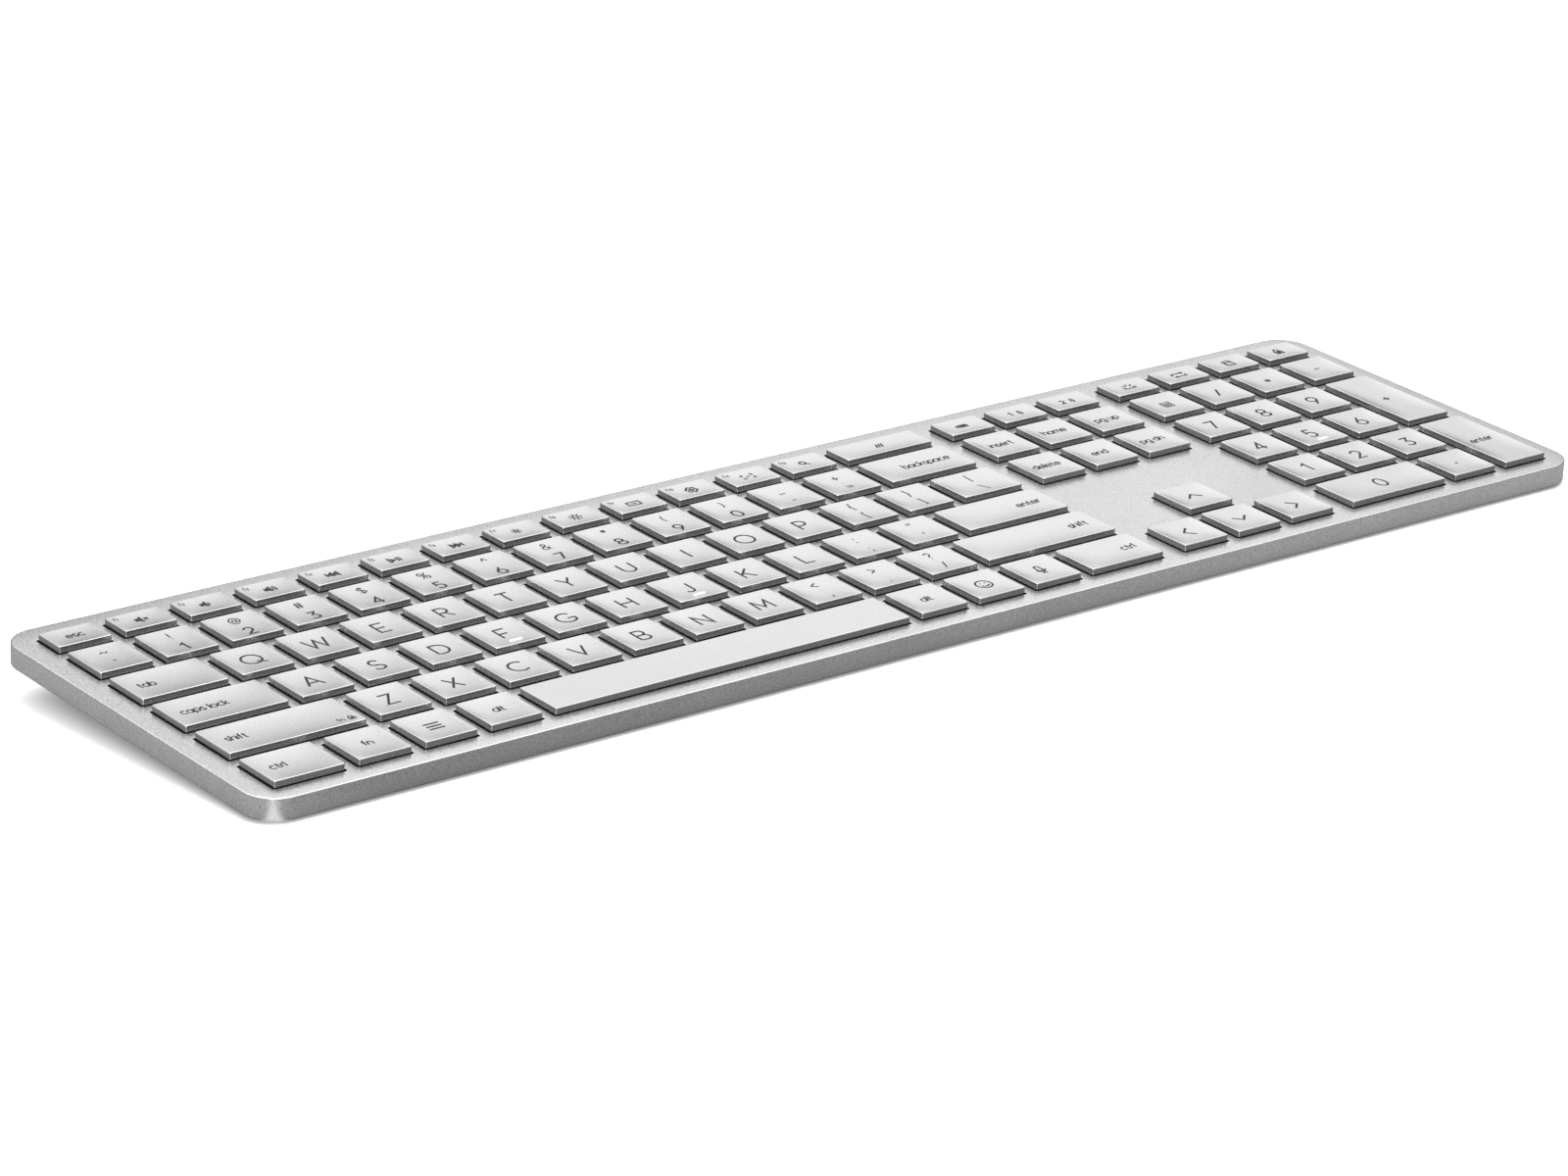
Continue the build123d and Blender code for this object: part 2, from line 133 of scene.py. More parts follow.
KEY_NODES = {
    "pad_num_lock_key": ["num"], "pad_divide_key": ["div"],
    "pad_multiply_key": ["mul"], "pad_minus_key": ["sub"],
    "pad_7_key": ["p7"], "pad_8_key": ["p8"], "pad_9_key": ["p9"],
    "pad_plus_key": ["plus"], "pad_4_key": ["p4"], "pad_5_key": ["p5"],
    "pad_6_key": ["p6"], "pad_1_key": ["p1"], "pad_2_key": ["p2"],
    "pad_3_key": ["p3"], "pad_enter_key": ["penter"], "pad_0_key": ["p0"],
    "pad_point_key": ["pdot"], "space_bar": ["space"],
    "enter_key": ["enter"], "backspace_key": ["backspace"],
    "tab_key": ["tab"], "caps_lock_key": ["caps"],
    "left_shift_key": ["lshift"], "right_shift_key": ["rshift"],
    "escape_key": ["esc"], "up_arrow_key": ["up"],
    "left_arrow_key": ["left"], "down_arrow_key": ["down"],
    "right_arrow_key": ["right"],
    "function_keys": [f"f{i}" for i in range(1, 13)] + ["fwide"],
    "nav_function_keys": ["nf1", "nf2", "nf3"],
    "pad_function_keys": ["pf1", "pf2", "pf3", "pf4"],
    "number_row_keys": ["grave"] + [f"d{i}" for i in "1234567890"]
    + ["minus", "equal"],
    "q_row_keys": list("qwertyuiop") + ["lbracket", "rbracket", "backslash"],
    "a_row_keys": list("asdfghjkl") + ["semicolon", "quote"],
    "z_row_keys": list("zxcvbnm") + ["comma", "period", "slash"],
    "modifier_keys": ["lctrl", "fn", "menu", "lalt", "ralt", "emoji", "mic",
                      "rctrl"],
    "nav_block_keys": ["insert", "home", "pgup", "delete", "end", "pgdn"],
}


def cap_rect(name):
    x0, x1, y0, y1 = [v * U for v in CELLS[name]]
    return (x0 + x1) / 2, (y0 + y1) / 2, x1 - x0 - GAP, y1 - y0 - GAP


# ---------------------------------------------------------------- materials


def clear(mat):
    mat.use_nodes = True
    nt = mat.node_tree
    nt.nodes.clear()
    out = nt.nodes.new("ShaderNodeOutputMaterial")
    bsdf = nt.nodes.new("ShaderNodeBsdfPrincipled")
    nt.links.new(bsdf.outputs["BSDF"], out.inputs["Surface"])
    return nt, bsdf


def ramp(nt, src, stops):
    r = nt.nodes.new("ShaderNodeValToRGB")
    el = r.color_ramp.elements
    while len(el) < len(stops):
        el.new(0.5)
    for e, (p, c) in zip(el, stops):
        e.position = p
        e.color = (*c, 1.0) if len(c) == 3 else c
    nt.links.new(src, r.inputs["Fac"])
    return r.outputs["Color"]


def noise(nt, co, scale, detail=2.0, rough=0.5, dist=0.0):
    n = nt.nodes.new("ShaderNodeTexNoise")
    n.inputs["Scale"].default_value = scale
    n.inputs["Detail"].default_value = detail
    n.inputs["Roughness"].default_value = rough
    n.inputs["Distortion"].default_value = dist
    nt.links.new(co, n.inputs["Vector"])
    return n.outputs["Fac"]


def maprange(nt, src, a, b, c, d):
    m = nt.nodes.new("ShaderNodeMapRange")
    for k, v in (("From Min", a), ("From Max", b), ("To Min", c),
                 ("To Max", d)):
        m.inputs[k].default_value = v
    nt.links.new(src, m.inputs["Value"])
    return m.outputs["Result"]


def bump(nt, bsdf, height, strength, dist, normal=None):
    b = nt.nodes.new("ShaderNodeBump")
    b.inputs["Strength"].default_value = strength
    b.inputs["Distance"].default_value = dist
    nt.links.new(height, b.inputs["Height"])
    if normal is not None:
        nt.links.new(normal, b.inputs["Normal"])
    nt.links.new(b.outputs["Normal"], bsdf.inputs["Normal"])
    return b.outputs["Normal"]


def coords(nt):
    return nt.nodes.new("ShaderNodeTexCoord").outputs["Object"]


def metal(name, dark, light, rough, grain, metallic=1.0, grain_mm=0.22,
          coat=0.0, wave=0.0):
    """Fine blasted or metal-flake surface: base colour, roughness and normal all carry a grain of the given size."""
    mat = bpy.data.materials.new(name)
    nt, b = clear(mat)
    co = coords(nt)
    fine = noise(nt, co, 1000.0 / grain_mm, 1.5, 0.6)
    broad = noise(nt, co, 1000.0 / 34.0, 3.0, 0.5)
    mix = nt.nodes.new("ShaderNodeMath")
    mix.operation = "MULTIPLY_ADD"
    nt.links.new(broad, mix.inputs[0])
    mix.inputs[1].default_value = 0.22
    nt.links.new(fine, mix.inputs[2])
    c = ramp(nt, mix.outputs[0], [(0.30, dark), (0.92, light)])
    nt.links.new(c, b.inputs["Base Color"])
    b.inputs["Metallic"].default_value = metallic
    nt.links.new(maprange(nt, fine, 0.25, 0.75, rough - 0.05, rough + 0.06),
                 b.inputs["Roughness"])
    if coat:
        b.inputs["Coat Weight"].default_value = coat
        b.inputs["Coat Roughness"].default_value = 0.25
    bump(nt, b, fine, grain, 0.00004)
    return mat


def plastic(name, dark, light, rough, grain, grain_mm=0.35, sheen=0.0,
            spec=0.5, transmission=0.0, ior=1.46):
    mat = bpy.data.materials.new(name)
    nt, b = clear(mat)
    co = coords(nt)
    fine = noise(nt, co, 1000.0 / grain_mm, 3.0, 0.6)
    broad = noise(nt, co, 1000.0 / 22.0, 2.0, 0.5)
    mix = nt.nodes.new("ShaderNodeMath")
    mix.operation = "MULTIPLY_ADD"
    nt.links.new(broad, mix.inputs[0])
    mix.inputs[1].default_value = 0.4
    nt.links.new(fine, mix.inputs[2])
    c = ramp(nt, mix.outputs[0], [(0.35, dark), (1.05, light)])
    nt.links.new(c, b.inputs["Base Color"])
    nt.links.new(maprange(nt, fine, 0.25, 0.75, rough - 0.06, rough + 0.06),
                 b.inputs["Roughness"])
    b.inputs["Specular IOR Level"].default_value = spec
    b.inputs["IOR"].default_value = ior
    if sheen:
        b.inputs["Sheen Weight"].default_value = sheen
    if transmission:
        b.inputs["Transmission Weight"].default_value = transmission
    bump(nt, b, fine, grain, 0.00008)
    return mat


M = {
    "deck": metal("blasted_aluminium", (0.42, 0.425, 0.42),
                  (0.80, 0.805, 0.80), 0.31, 0.6, grain_mm=0.42),
    "cap": metal("silver_key_paint", (0.60, 0.60, 0.595),
                 (0.74, 0.74, 0.735), 0.27, 0.13, grain_mm=0.30),
    # key sides: the same silver paint as the tops, made darker here as painted shade
    "side": metal("key_side_silver_painted_shade", (0.23, 0.23, 0.228),
                  (0.34, 0.34, 0.337), 0.25, 0.12, grain_mm=0.35),
    # homing bars: near white, a painted highlight on their rounded tops
    "bar": plastic("homing_bar_painted_highlight", (0.82, 0.82, 0.815),
                   (0.92, 0.92, 0.915), 0.35, 0.15, grain_mm=0.35),
    # near-black for the gaps round the keys and the caps' hollows: painted shade
    "slot": plastic("slot_shadow_paint", (0.010, 0.010, 0.011),
                    (0.030, 0.030, 0.031), 0.55, 0.2, grain_mm=0.3,
                    spec=0.2),
    "ink": plastic("legend_ink", (0.030, 0.030, 0.032), (0.05, 0.05, 0.053),
                   0.85, 0.15, grain_mm=0.12, spec=0.08),
    "base": plastic("grey_base_plastic", (0.24, 0.245, 0.25),
                    (0.33, 0.335, 0.34), 0.48, 0.35, grain_mm=0.4),
    "rubber": plastic("foot_rubber", (0.012, 0.012, 0.013),
                      (0.035, 0.035, 0.036), 0.78, 0.5, grain_mm=0.3,
                      sheen=0.15),
    "steel": metal("bright_steel", (0.42, 0.43, 0.44), (0.60, 0.60, 0.61),
                   0.28, 0.25, grain_mm=0.5),
    # circuit film: dark grey, partly its own dark backing and partly painted shade, so the gaps round the keys look
    # black from above
    "film": plastic("dark_circuit_film_and_painted_shade", (0.07, 0.075, 0.07),
                    (0.12, 0.125, 0.12), 0.35, 0.1, grain_mm=1.2,
                    spec=0.3),
    "silicone": plastic("dome_silicone", (0.50, 0.50, 0.48),
                        (0.64, 0.64, 0.62), 0.5, 0.2, grain_mm=0.4),
    "nylon": plastic("scissor_nylon", (0.50, 0.50, 0.48),
                     (0.62, 0.62, 0.60), 0.42, 0.2, grain_mm=0.3,
                     spec=0.4),
    "guide": plastic("light_guide_acrylic", (0.72, 0.75, 0.78),
                     (0.86, 0.88, 0.90), 0.12, 0.05, grain_mm=2.0),
    "pcb": plastic("circuit_board_mask", (0.008, 0.06, 0.03),
                   (0.02, 0.13, 0.06), 0.32, 0.3, grain_mm=0.9),
    "cell": plastic("battery_pouch", (0.20, 0.21, 0.23), (0.30, 0.31, 0.33),
                    0.3, 0.3, grain_mm=1.4),
    "flex": plastic("flex_film", (0.42, 0.22, 0.06), (0.60, 0.34, 0.10),
                    0.3, 0.1, grain_mm=0.9),
    "switch": plastic("switch_plastic", (0.012, 0.012, 0.013),
                      (0.03, 0.03, 0.032), 0.4, 0.2, grain_mm=0.25),
    "knob": plastic("knob_plastic", (0.05, 0.052, 0.055),
                    (0.09, 0.092, 0.095), 0.45, 0.3, grain_mm=0.3),
}
CAD_MATERIALS = {
    "bottom_cover": "base", "rear_foot_housing": "base",
    "support_plate": "steel", "membrane_circuit": "film",
    "rubber_domes": "silicone", "scissor_outer_frames": "nylon",
    "scissor_inner_frames": "nylon", "stabiliser_wires": "steel",
    "backlight_guide": "guide", "main_circuit_board": "pcb",
    "battery_cell": "cell", "flex_cable": "flex", "usb_c_port": "steel",
    "power_switch_body": "switch", "power_switch_knob": "knob",
    "status_light_pipe": "guide", "front_rubber_feet": "rubber",
    "rear_rubber_feet": "rubber", "case_screws": "steel",
    "plate_screws": "steel", "foot_screws": "steel",
}
for n, m in CAD_MATERIALS.items():
    o = frame["nodes"][n]
    o.data.materials.clear()
    o.data.materials.append(M[m])

# ------------------------------------------------------------- mesh helpers


class Mesh:
    """Vertices and faces gathered in the deck's frame, in mm, with a material number for each face."""

    def __init__(self):
        self.v, self.f, self.m = [], [], []
        self.n = 0

    def add(self, verts, faces, mat=0):
        verts = np.asarray(verts, float).reshape(-1, 3)
        self.v.append(verts)
        k = self.n
        self.f += [tuple(int(i) + k for i in f) for f in faces]
        self.m += [mat] * len(faces)
        self.n += len(verts)
        return k

    def more(self, k, faces, mat):
        """Further faces over the points that add() put in at k."""
        self.f += [tuple(int(i) + k for i in f) for f in faces]
        self.m += [mat] * len(faces)

    def object(self, name, mats, body, slot, replaces=(), angle=32.0):
        me = bpy.data.meshes.new(name)
        me.from_pydata(world(np.vstack(self.v)).tolist(), [], self.f)
        me.validate()
        for m in mats:
            me.materials.append(M[m])
        if len(me.polygons) == len(self.m):
            me.polygons.foreach_set("material_index", self.m)
        me.polygons.foreach_set("use_smooth", [True] * len(me.polygons))
        me.set_sharp_from_angle(angle=math.radians(angle))
        me.update()
        o = bpy.data.objects.new(name, me)
        bpy.context.scene.collection.objects.link(o)
        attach(o, body)
        if replaces:
            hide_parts(*replaces)
        return o


def ring_xy(a, b, r, nc=6, nx=1, ny=1):
    """A rounded rectangle, half sizes a and b, anticlockwise, with nc steps in each corner and nx, ny on the sides."""
    r = min(r, a - 1e-4, b - 1e-4)
    pts = []
    for cx, cy, a0 in ((a - r, b - r, 0), (-a + r, b - r, 90),
                       (-a + r, -b + r, 180), (a - r, -b + r, 270)):
        arc = [(cx + r * math.cos(math.radians(a0 + 90 * i / nc)),
                cy + r * math.sin(math.radians(a0 + 90 * i / nc)))
               for i in range(nc + 1)]
        pts.append(arc)
    out = []
    for i in range(4):
        out += pts[i]
        p, q = pts[i][-1], pts[(i + 1) % 4][0]
        k = nx if i % 2 == 0 else ny
        out += [(p[0] + (q[0] - p[0]) * j / k, p[1] + (q[1] - p[1]) * j / k)
                for j in range(1, k)]
    return np.array(out)


def loft(mesh, rings, mat=0, cap_first=False, cap_last=False):
    n = len(rings[0])
    faces = []
    for k in range(len(rings) - 1):
        for i in range(n):
            j = (i + 1) % n
            faces.append((k * n + i, k * n + j, (k + 1) * n + j,
                          (k + 1) * n + i))
    if cap_first:
        faces.append(tuple(range(n - 1, -1, -1)))
    if cap_last:
        faces.append(tuple((len(rings) - 1) * n + i for i in range(n)))
    mesh.add(np.vstack(rings), faces, mat)


# ---------------------------------------------------------------- stroke font


def arc(cx, cy, rx, ry, a0, a1, n=None):
    n = n or max(3, int(abs(a1 - a0) / 15) + 1)
    return [(cx + rx * math.cos(math.radians(a0 + (a1 - a0) * i / (n - 1))),
             cy + ry * math.sin(math.radians(a0 + (a1 - a0) * i / (n - 1))))
            for i in range(n)]


def ell(cx, cy, rx, ry):
    return arc(cx, cy, rx, ry, 90, 450 - 18, 20) + ["closed"]


S_UP = arc(.30, .745, .26, .255, 30, 265) + arc(.30, .25, .30, .25, 80, -155)
# capitals and digits stand 1 high; a glyph is (width, [paths])
FONT = {
    "A": (.86, [[(0, 0), (.43, 1), (.86, 0)], [(.15, .33), (.71, .33)]]),
    "B": (.62, [[(0, 0), (0, 1), (.3, 1)] + arc(.32, .76, .24, .24, 80, -80)
                + [(.3, .52), (.03, .52)],
                [(.3, .52)] + arc(.35, .26, .27, .26, 80, -80)
                + [(.3, 0), (.03, 0)]]),
    "C": (.86, [arc(.5, .5, .5, .5, 48, 312)]),
    "D": (.78, [[(0, 0), (0, 1), (.26, 1)] + arc(.28, .5, .5, .5, 85, -85)
                + [(.26, 0), (.03, 0)]]),
    "E": (.58, [[(.58, 1), (0, 1), (0, 0), (.58, 0)],
                [(.03, .52), (.5, .52)]]),
    "F": (.56, [[(.56, 1), (0, 1), (0, 0)], [(.03, .5), (.48, .5)]]),
    "G": (.94, [arc(.5, .5, .5, .5, 48, 330) + [(.93, .46), (.56, .46)]]),
    "H": (.72, [[(0, 0), (0, 1)], [(.72, 0), (.72, 1)],
                [(.03, .52), (.69, .52)]]),
    "I": (.0, [[(0, 0), (0, 1)]]),
    "J": (.44, [[(.44, 1), (.44, .28)] + arc(.2, .26, .24, .26, -10, -150)]),
    "K": (.64, [[(0, 0), (0, 1)], [(.6, 1), (.04, .44)],
                [(.2, .6), (.64, 0)]]),
    "L": (.52, [[(0, 1), (0, 0), (.52, 0)]]),
    "M": (.92, [[(0, 0), (.07, 1), (.46, .22), (.85, 1), (.92, 0)]]),
    "N": (.72, [[(0, 0), (0, 1), (.72, 0), (.72, 1)]]),
    "O": (1.0, [ell(.5, .5, .5, .5)]),
    "P": (.58, [[(0, 0), (0, 1), (.28, 1)] + arc(.3, .735, .28, .265, 80, -80)
                + [(.28, .47), (.03, .47)]]),
    "Q": (1.06, [ell(.5, .5, .5, .5), [(.62, .26), (1.06, -.06)]]),
    "R": (.62, [[(0, 0), (0, 1), (.28, 1)] + arc(.3, .735, .28, .265, 80, -80)
                + [(.28, .47), (.03, .47)], [(.3, .45), (.62, 0)]]),
    "S": (.60, [S_UP]),
    "T": (.68, [[(0, 1), (.68, 1)], [(.34, .97), (.34, 0)]]),
    "U": (.70, [[(0, 1), (0, .36)] + arc(.35, .35, .35, .35, 185, 355)
                + [(.70, .36), (.70, 1)]]),
    "V": (.80, [[(0, 1), (.4, 0), (.8, 1)]]),
    "W": (1.2, [[(0, 1), (.3, 0), (.6, .92), (.9, 0), (1.2, 1)]]),
    "X": (.66, [[(0, 0), (.66, 1)], [(0, 1), (.3, .545)],
                [(.36, .455), (.66, 0)]]),
    "Y": (.72, [[(0, 1), (.36, .48), (.72, 1)], [(.36, .45), (.36, 0)]]),
    "Z": (.64, [[(.02, 1), (.62, 1), (0, 0), (.64, 0)]]),
    "0": (.64, [ell(.32, .5, .32, .5)]),
    "1": (.26, [[(0, .78), (.26, 1), (.26, 0)]]),
    "2": (.58, [arc(.29, .71, .28, .29, 165, -30) + [(0, 0), (.58, 0)]]),
    "3": (.54, [[(.03, 1), (.52, 1), (.24, .6)]
                + arc(.24, .30, .30, .30, 80, -150)]),
    "4": (.64, [[(.47, 0), (.47, 1), (0, .27), (.64, .27)]]),
    "5": (.55, [[(.50, 1), (.09, 1), (.05, .56)]
                + arc(.25, .32, .30, .32, 120, -150)]),
    "6": (.60, [ell(.3, .31, .3, .31), [(.42, 1), (.05, .47)]]),
    "7": (.58, [[(0, 1), (.58, 1), (.16, 0)]]),
    "8": (.60, [ell(.3, .76, .245, .24), ell(.3, .26, .3, .255)]),
    "9": (.60, [ell(.3, .69, .3, .31), [(.55, .53), (.18, 0)]]),
    "~": (.62, [[(0, .42), (.08, .54), (.18, .58), (.30, .52), (.40, .46),
                 (.50, .44), (.58, .50), (.62, .60)]]),
    "`": (.16, [[(0, 1), (.16, .78)]]),
    "!": (.0, [[(0, 1), (0, .30)], [(0, .07), (0, -.03)]]),
    "@": (.96, [ell(.46, .45, .18, .2), [(.64, .66), (.62, .36)]
                + arc(.76, .36, .13, .13, 190, 350)
                + arc(.48, .45, .46, .5, 0, 300)]),
    "#": (.72, [[(.16, 0), (.28, 1)], [(.44, 0), (.56, 1)],
                [(.04, .67), (.72, .67)], [(0, .33), (.68, .33)]]),
    "$": (.60, [[(x, .08 + y * .84) for x, y in S_UP],
                [(.3, 1.08), (.3, -.08)]]),
    "%": (.86, [ell(.18, .76, .18, .22), ell(.68, .24, .18, .22),
                [(.70, 1), (.16, 0)]]),
    "^": (.48, [[(0, .55), (.24, 1), (.48, .55)]]),
    "&": (.70, [[(.70, 0), (.16, .66)] + arc(.30, .80, .18, .19, 200, -20)
                + [(.40, .64), (.12, .46)] + arc(.26, .25, .26, .25, 140, 300)
                + [(.52, .18), (.66, .46)]]),
    "*": (.50, [[(.25, 1), (.25, .5)], [(.03, .88), (.47, .62)],
                [(.03, .62), (.47, .88)]]),
    "(": (.24, [arc(.42, .45, .42, .64, 130, 230)]),
    ")": (.24, [arc(-.18, .45, .42, .64, 50, -50)]),
    "-": (.42, [[(0, .42), (.42, .42)]]),
    "_": (.56, [[(0, 0), (.56, 0)]]),
    "=": (.60, [[(0, .56), (.6, .56)], [(0, .28), (.6, .28)]]),
    "+": (.66, [[(0, .42), (.66, .42)], [(.33, .76), (.33, .09)]]),
    "[": (.22, [[(.22, 1.08), (0, 1.08), (0, -.12), (.22, -.12)]]),
    "]": (.22, [[(0, 1.08), (.22, 1.08), (.22, -.12), (0, -.12)]]),
    "{": (.28, [[(.28, 1.08), (.16, 1.02), (.14, .62), (0, .48), (.14, .34),
                 (.16, -.06), (.28, -.12)]]),
    "}": (.28, [[(0, 1.08), (.12, 1.02), (.14, .62), (.28, .48), (.14, .34),
                 (.12, -.06), (0, -.12)]]),
    "\\": (.44, [[(0, 1.05), (.44, -.08)]]),
    "/": (.44, [[(.44, 1.05), (0, -.08)]]),
    "|": (.0, [[(0, 1.15), (0, -.15)]]),
    ";": (.10, [[(.08, .66), (.08, .56)], [(.1, .10), (.0, -.16)]]),
    ":": (.0, [[(0, .70), (0, .60)], [(0, .12), (0, .02)]]),
    "'": (.0, [[(0, 1), (0, .72)]]),
    "\"": (.22, [[(0, 1), (0, .72)], [(.22, 1), (.22, .72)]]),
    ",": (.10, [[(.1, .10), (.0, -.16)]]),
    ".": (.0, [[(0, .08), (0, -.02)]]),
    "<": (.50, [[(.5, .78), (0, .44), (.5, .10)]]),
    ">": (.50, [[(0, .78), (.5, .44), (0, .10)]]),
    "?": (.46, [arc(.22, .76, .23, .24, 160, -50) + [(.22, .46), (.22, .30)],
                [(.22, .07), (.22, -.03)]]),
}
# small letters: 1 is the x-height
LOW = {
    "a": (.84, [ell(.42, .5, .42, .5), [(.84, 1), (.84, 0)]]),
    "b": (.84, [[(0, 1.5), (0, 0)], ell(.42, .5, .42, .5)]),
    "c": (.74, [arc(.44, .5, .44, .5, 48, 312)]),
    "d": (.84, [ell(.42, .5, .42, .5), [(.84, 1.5), (.84, 0)]]),
    "e": (.86, [[(.03, .50), (.86, .50)] + arc(.43, .5, .43, .5, 8, 318)]),
    "f": (.50, [[(.52, 1.48), (.36, 1.44), (.25, 1.28), (.24, 1.1), (.24, 0)],
                [(0, .96), (.21, .96)], [(.27, .96), (.50, .96)]]),
    "g": (.84, [ell(.42, .5, .42, .5),
                [(.84, 1), (.84, -.1)] + arc(.44, -.1, .40, .36, -5, -150)]),
    "h": (.74, [[(0, 1.5), (0, 0)],
                [(.03, .55)] + arc(.37, .58, .37, .42, 160, 5)
                + [(.74, .5), (.74, 0)]]),
    "i": (.0, [[(0, 1), (0, 0)], [(0, 1.42), (0, 1.28)]]),
    "k": (.60, [[(0, 1.5), (0, 0)], [(.56, 1), (.04, .42)],
                [(.2, .58), (.60, 0)]]),
    "l": (.0, [[(0, 1.5), (0, 0)]]),
    "m": (1.22, [[(0, 1), (0, 0)],
                 [(.03, .6)] + arc(.31, .62, .30, .38, 160, 5)
                 + [(.61, .5), (.61, 0)],
                 [(.63, .6)] + arc(.92, .62, .30, .38, 160, 5)
                 + [(1.22, .5), (1.22, 0)]]),
    "n": (.74, [[(0, 1), (0, 0)],
                [(.03, .55)] + arc(.37, .58, .37, .42, 160, 5)
                + [(.74, .5), (.74, 0)]]),
    "o": (.90, [ell(.45, .5, .45, .5)]),
    "p": (.84, [[(0, 1), (0, -.45)], ell(.42, .5, .42, .5)]),
    "r": (.44, [[(0, 1), (0, 0)], [(.03, .58)]
                + arc(.36, .6, .34, .40, 165, 70)]),
    "s": (.62, [arc(.31, .745, .27, .255, 30, 265)
                + arc(.31, .25, .31, .25, 80, -155)]),
    "t": (.52, [[(.22, 1.36), (.22, .25)] + arc(.44, .22, .22, .22, 190, 285),
                [(0, .96), (.19, .96)], [(.25, .96), (.50, .96)]]),
    "u": (.74, [[(0, 1), (0, .42)] + arc(.37, .42, .37, .42, 185, 350)
                + [(.74, .5), (.74, 1)], [(.74, .2), (.74, 0)]]),
    " ": (.30, []),
}


def text(s, size, track=None, font=None):
    """Paths of one line of lettering, in mm, with its left end and baseline at 0, and its width."""
    font = font or FONT
    track = (0.22 if font is LOW else 0.24) if track is None else track
    x, out = 0.0, []
    for i, ch in enumerate(s):
        w, paths = (font.get(ch) or LOW.get(ch) or FONT[ch])
        if i:
            x += track
        for p in paths:
            closed = p and p[-1] == "closed"
            q = [(x * size + a * size, b * size)
                 for a, b in (p[:-1] if closed else p)]
            out.append((q, closed))
        x += w
    return out, x * size


def icon(paths, closed=()):
    return [((p[:-1], True) if p and p[-1] == "closed" else (p, False))
            for p in paths]


def moved(paths, dx, dy, s=1.0):
    return [([(a * s + dx, b * s + dy) for a, b in p], c) for p, c in paths]


def ribbon(mesh, path, closed, width, height, surface, mat):
    """A flat stroke along a path in a cap's own x and y: a lens-shaped bar whose upper half lies on the surface."""
    p = np.array(path, float)
    if closed is False and len(p) > 1:
        # drop repeats
        keep = [0] + [i for i in range(1, len(p))
                      if np.hypot(*(p[i] - p[i - 1])) > 1e-4]
        p = p[keep]
    n = len(p)
    if n < 2:
        return
    if closed:
        d0 = p - np.roll(p, 1, 0)
        d1 = np.roll(p, -1, 0) - p
    else:
        d = np.diff(p, axis=0)
        d0 = np.vstack([d[:1], d])
        d1 = np.vstack([d, d[-1:]])
    d0 /= np.maximum(np.hypot(*d0.T)[:, None], 1e-9)
    d1 /= np.maximum(np.hypot(*d1.T)[:, None], 1e-9)
    n0 = np.c_[-d0[:, 1], d0[:, 0]]
    n1 = np.c_[-d1[:, 1], d1[:, 0]]
    m = n0 + n1
    m /= np.maximum(np.hypot(*m.T)[:, None], 1e-9)
    cosh = np.maximum((m * n0).sum(1), 0.42)[:, None]
    m = m / cosh
    h = width / 2
    prof = [(-h, 0), (-h * .72, height), (h * .72, height), (h, 0),
            (h * .72, -height), (-h * .72, -height)]
    verts = []
    for off, z in prof:
        q = p + m * off
        verts.append(np.c_[q, surface(q[:, 0], q[:, 1]) + z])
    v = np.stack(verts, 1).reshape(-1, 3)       # vertex i * 6 + k
    faces = []
    last = n if closed else n - 1
    for i in range(last):
        j = (i + 1) % n
        for k in range(6):
            l = (k + 1) % 6
            faces.append((i * 6 + k, j * 6 + k, j * 6 + l, i * 6 + l))
    if not closed:
        faces.append(tuple(range(6)))
        faces.append(tuple((n - 1) * 6 + k for k in range(5, -1, -1)))
    mesh.add(v, faces, mat)


# ------------------------------------------------------------------- legends
INK = 0.66          # stroke width of the lettering, mm
BOLD = 0.55          # small pictograms
FINE = 0.55         # of icons and small print
LEG = {}


def put(key, paths, width=INK):
    LEG.setdefault(key, []).append((paths, width))


def centred(s, size, dx=0.0, dy=0.0, **k):
    p, w = text(s, size, **k)
    return moved(p, dx - w / 2, dy - size / 2)


for ch in "qwertyuiopasdfghjklzxcvbnm":
    put(ch, centred(ch.upper(), 5.4))
for d, s in zip("1234567890", "!@#$%^&*()"):
    put("d" + d, centred(d, 4.2, 0, -3.6))
    put("d" + d, centred(s, 3.3, 0, 3.6), 0.44)
for key, lo_s, up_s in (("grave", "`", "~"), ("minus", "-", "_"),
                        ("equal", "=", "+"), ("lbracket", "[", "{"),
                        ("rbracket", "]", "}"), ("backslash", "\\", "|"),
                        ("semicolon", ";", ":"), ("quote", "'", "\""),
                        ("comma", ",", "<"), ("period", ".", ">"),
                        ("slash", "/", "?")):
    put(key, centred(lo_s, 3.4, 0, -3.3), 0.46)
    put(key, centred(up_s, 3.4, 0, 3.3), 0.46)
for i in range(10):
    put(f"p{i}", centred(str(i), 5.0))
put("pdot", icon([[(-.3, 0), (.3, 0)]]), 0.9)
put("plus", icon([[(-1.1, 0), (1.1, 0)], [(0, 1.1), (0, -1.1)]]))
put("sub", icon([[(-.9, 0), (.9, 0)]]), 0.55)
put("mul", icon([[(0, 1.0), (0, -1.0)], [(-.87, .5), (.87, -.5)],
                 [(-.87, -.5), (.87, .5)]]), FINE)
put("div", icon([[(1.1, 2.2), (-1.1, -2.2)]]))
put("num", icon([[(-1.5, -1.6), (1.5, -1.6), (1.5, 1.6), (-1.5, 1.6),
                  "closed"], [(-1.5, .6), (1.5, .6)],
                 [(-1.5, -.5), (1.5, -.5)], [(-.5, .6), (-.5, -1.6)],
                 [(.5, .6), (.5, -1.6)]]), 0.44)
XH = 1.8           # x-height of the words


def word(key, s, where, dx=3.9, dy=0.0, size=XH):
    p, w = text(s, size, font=LOW)
    cx, cy, cw, ch = cap_rect(key)
    x = {"left": -cw / 2 + dx, "right": cw / 2 - dx - w,
         "centre": -w / 2}[where]
    put(key, moved(p, x, dy - size * .55), 0.48)


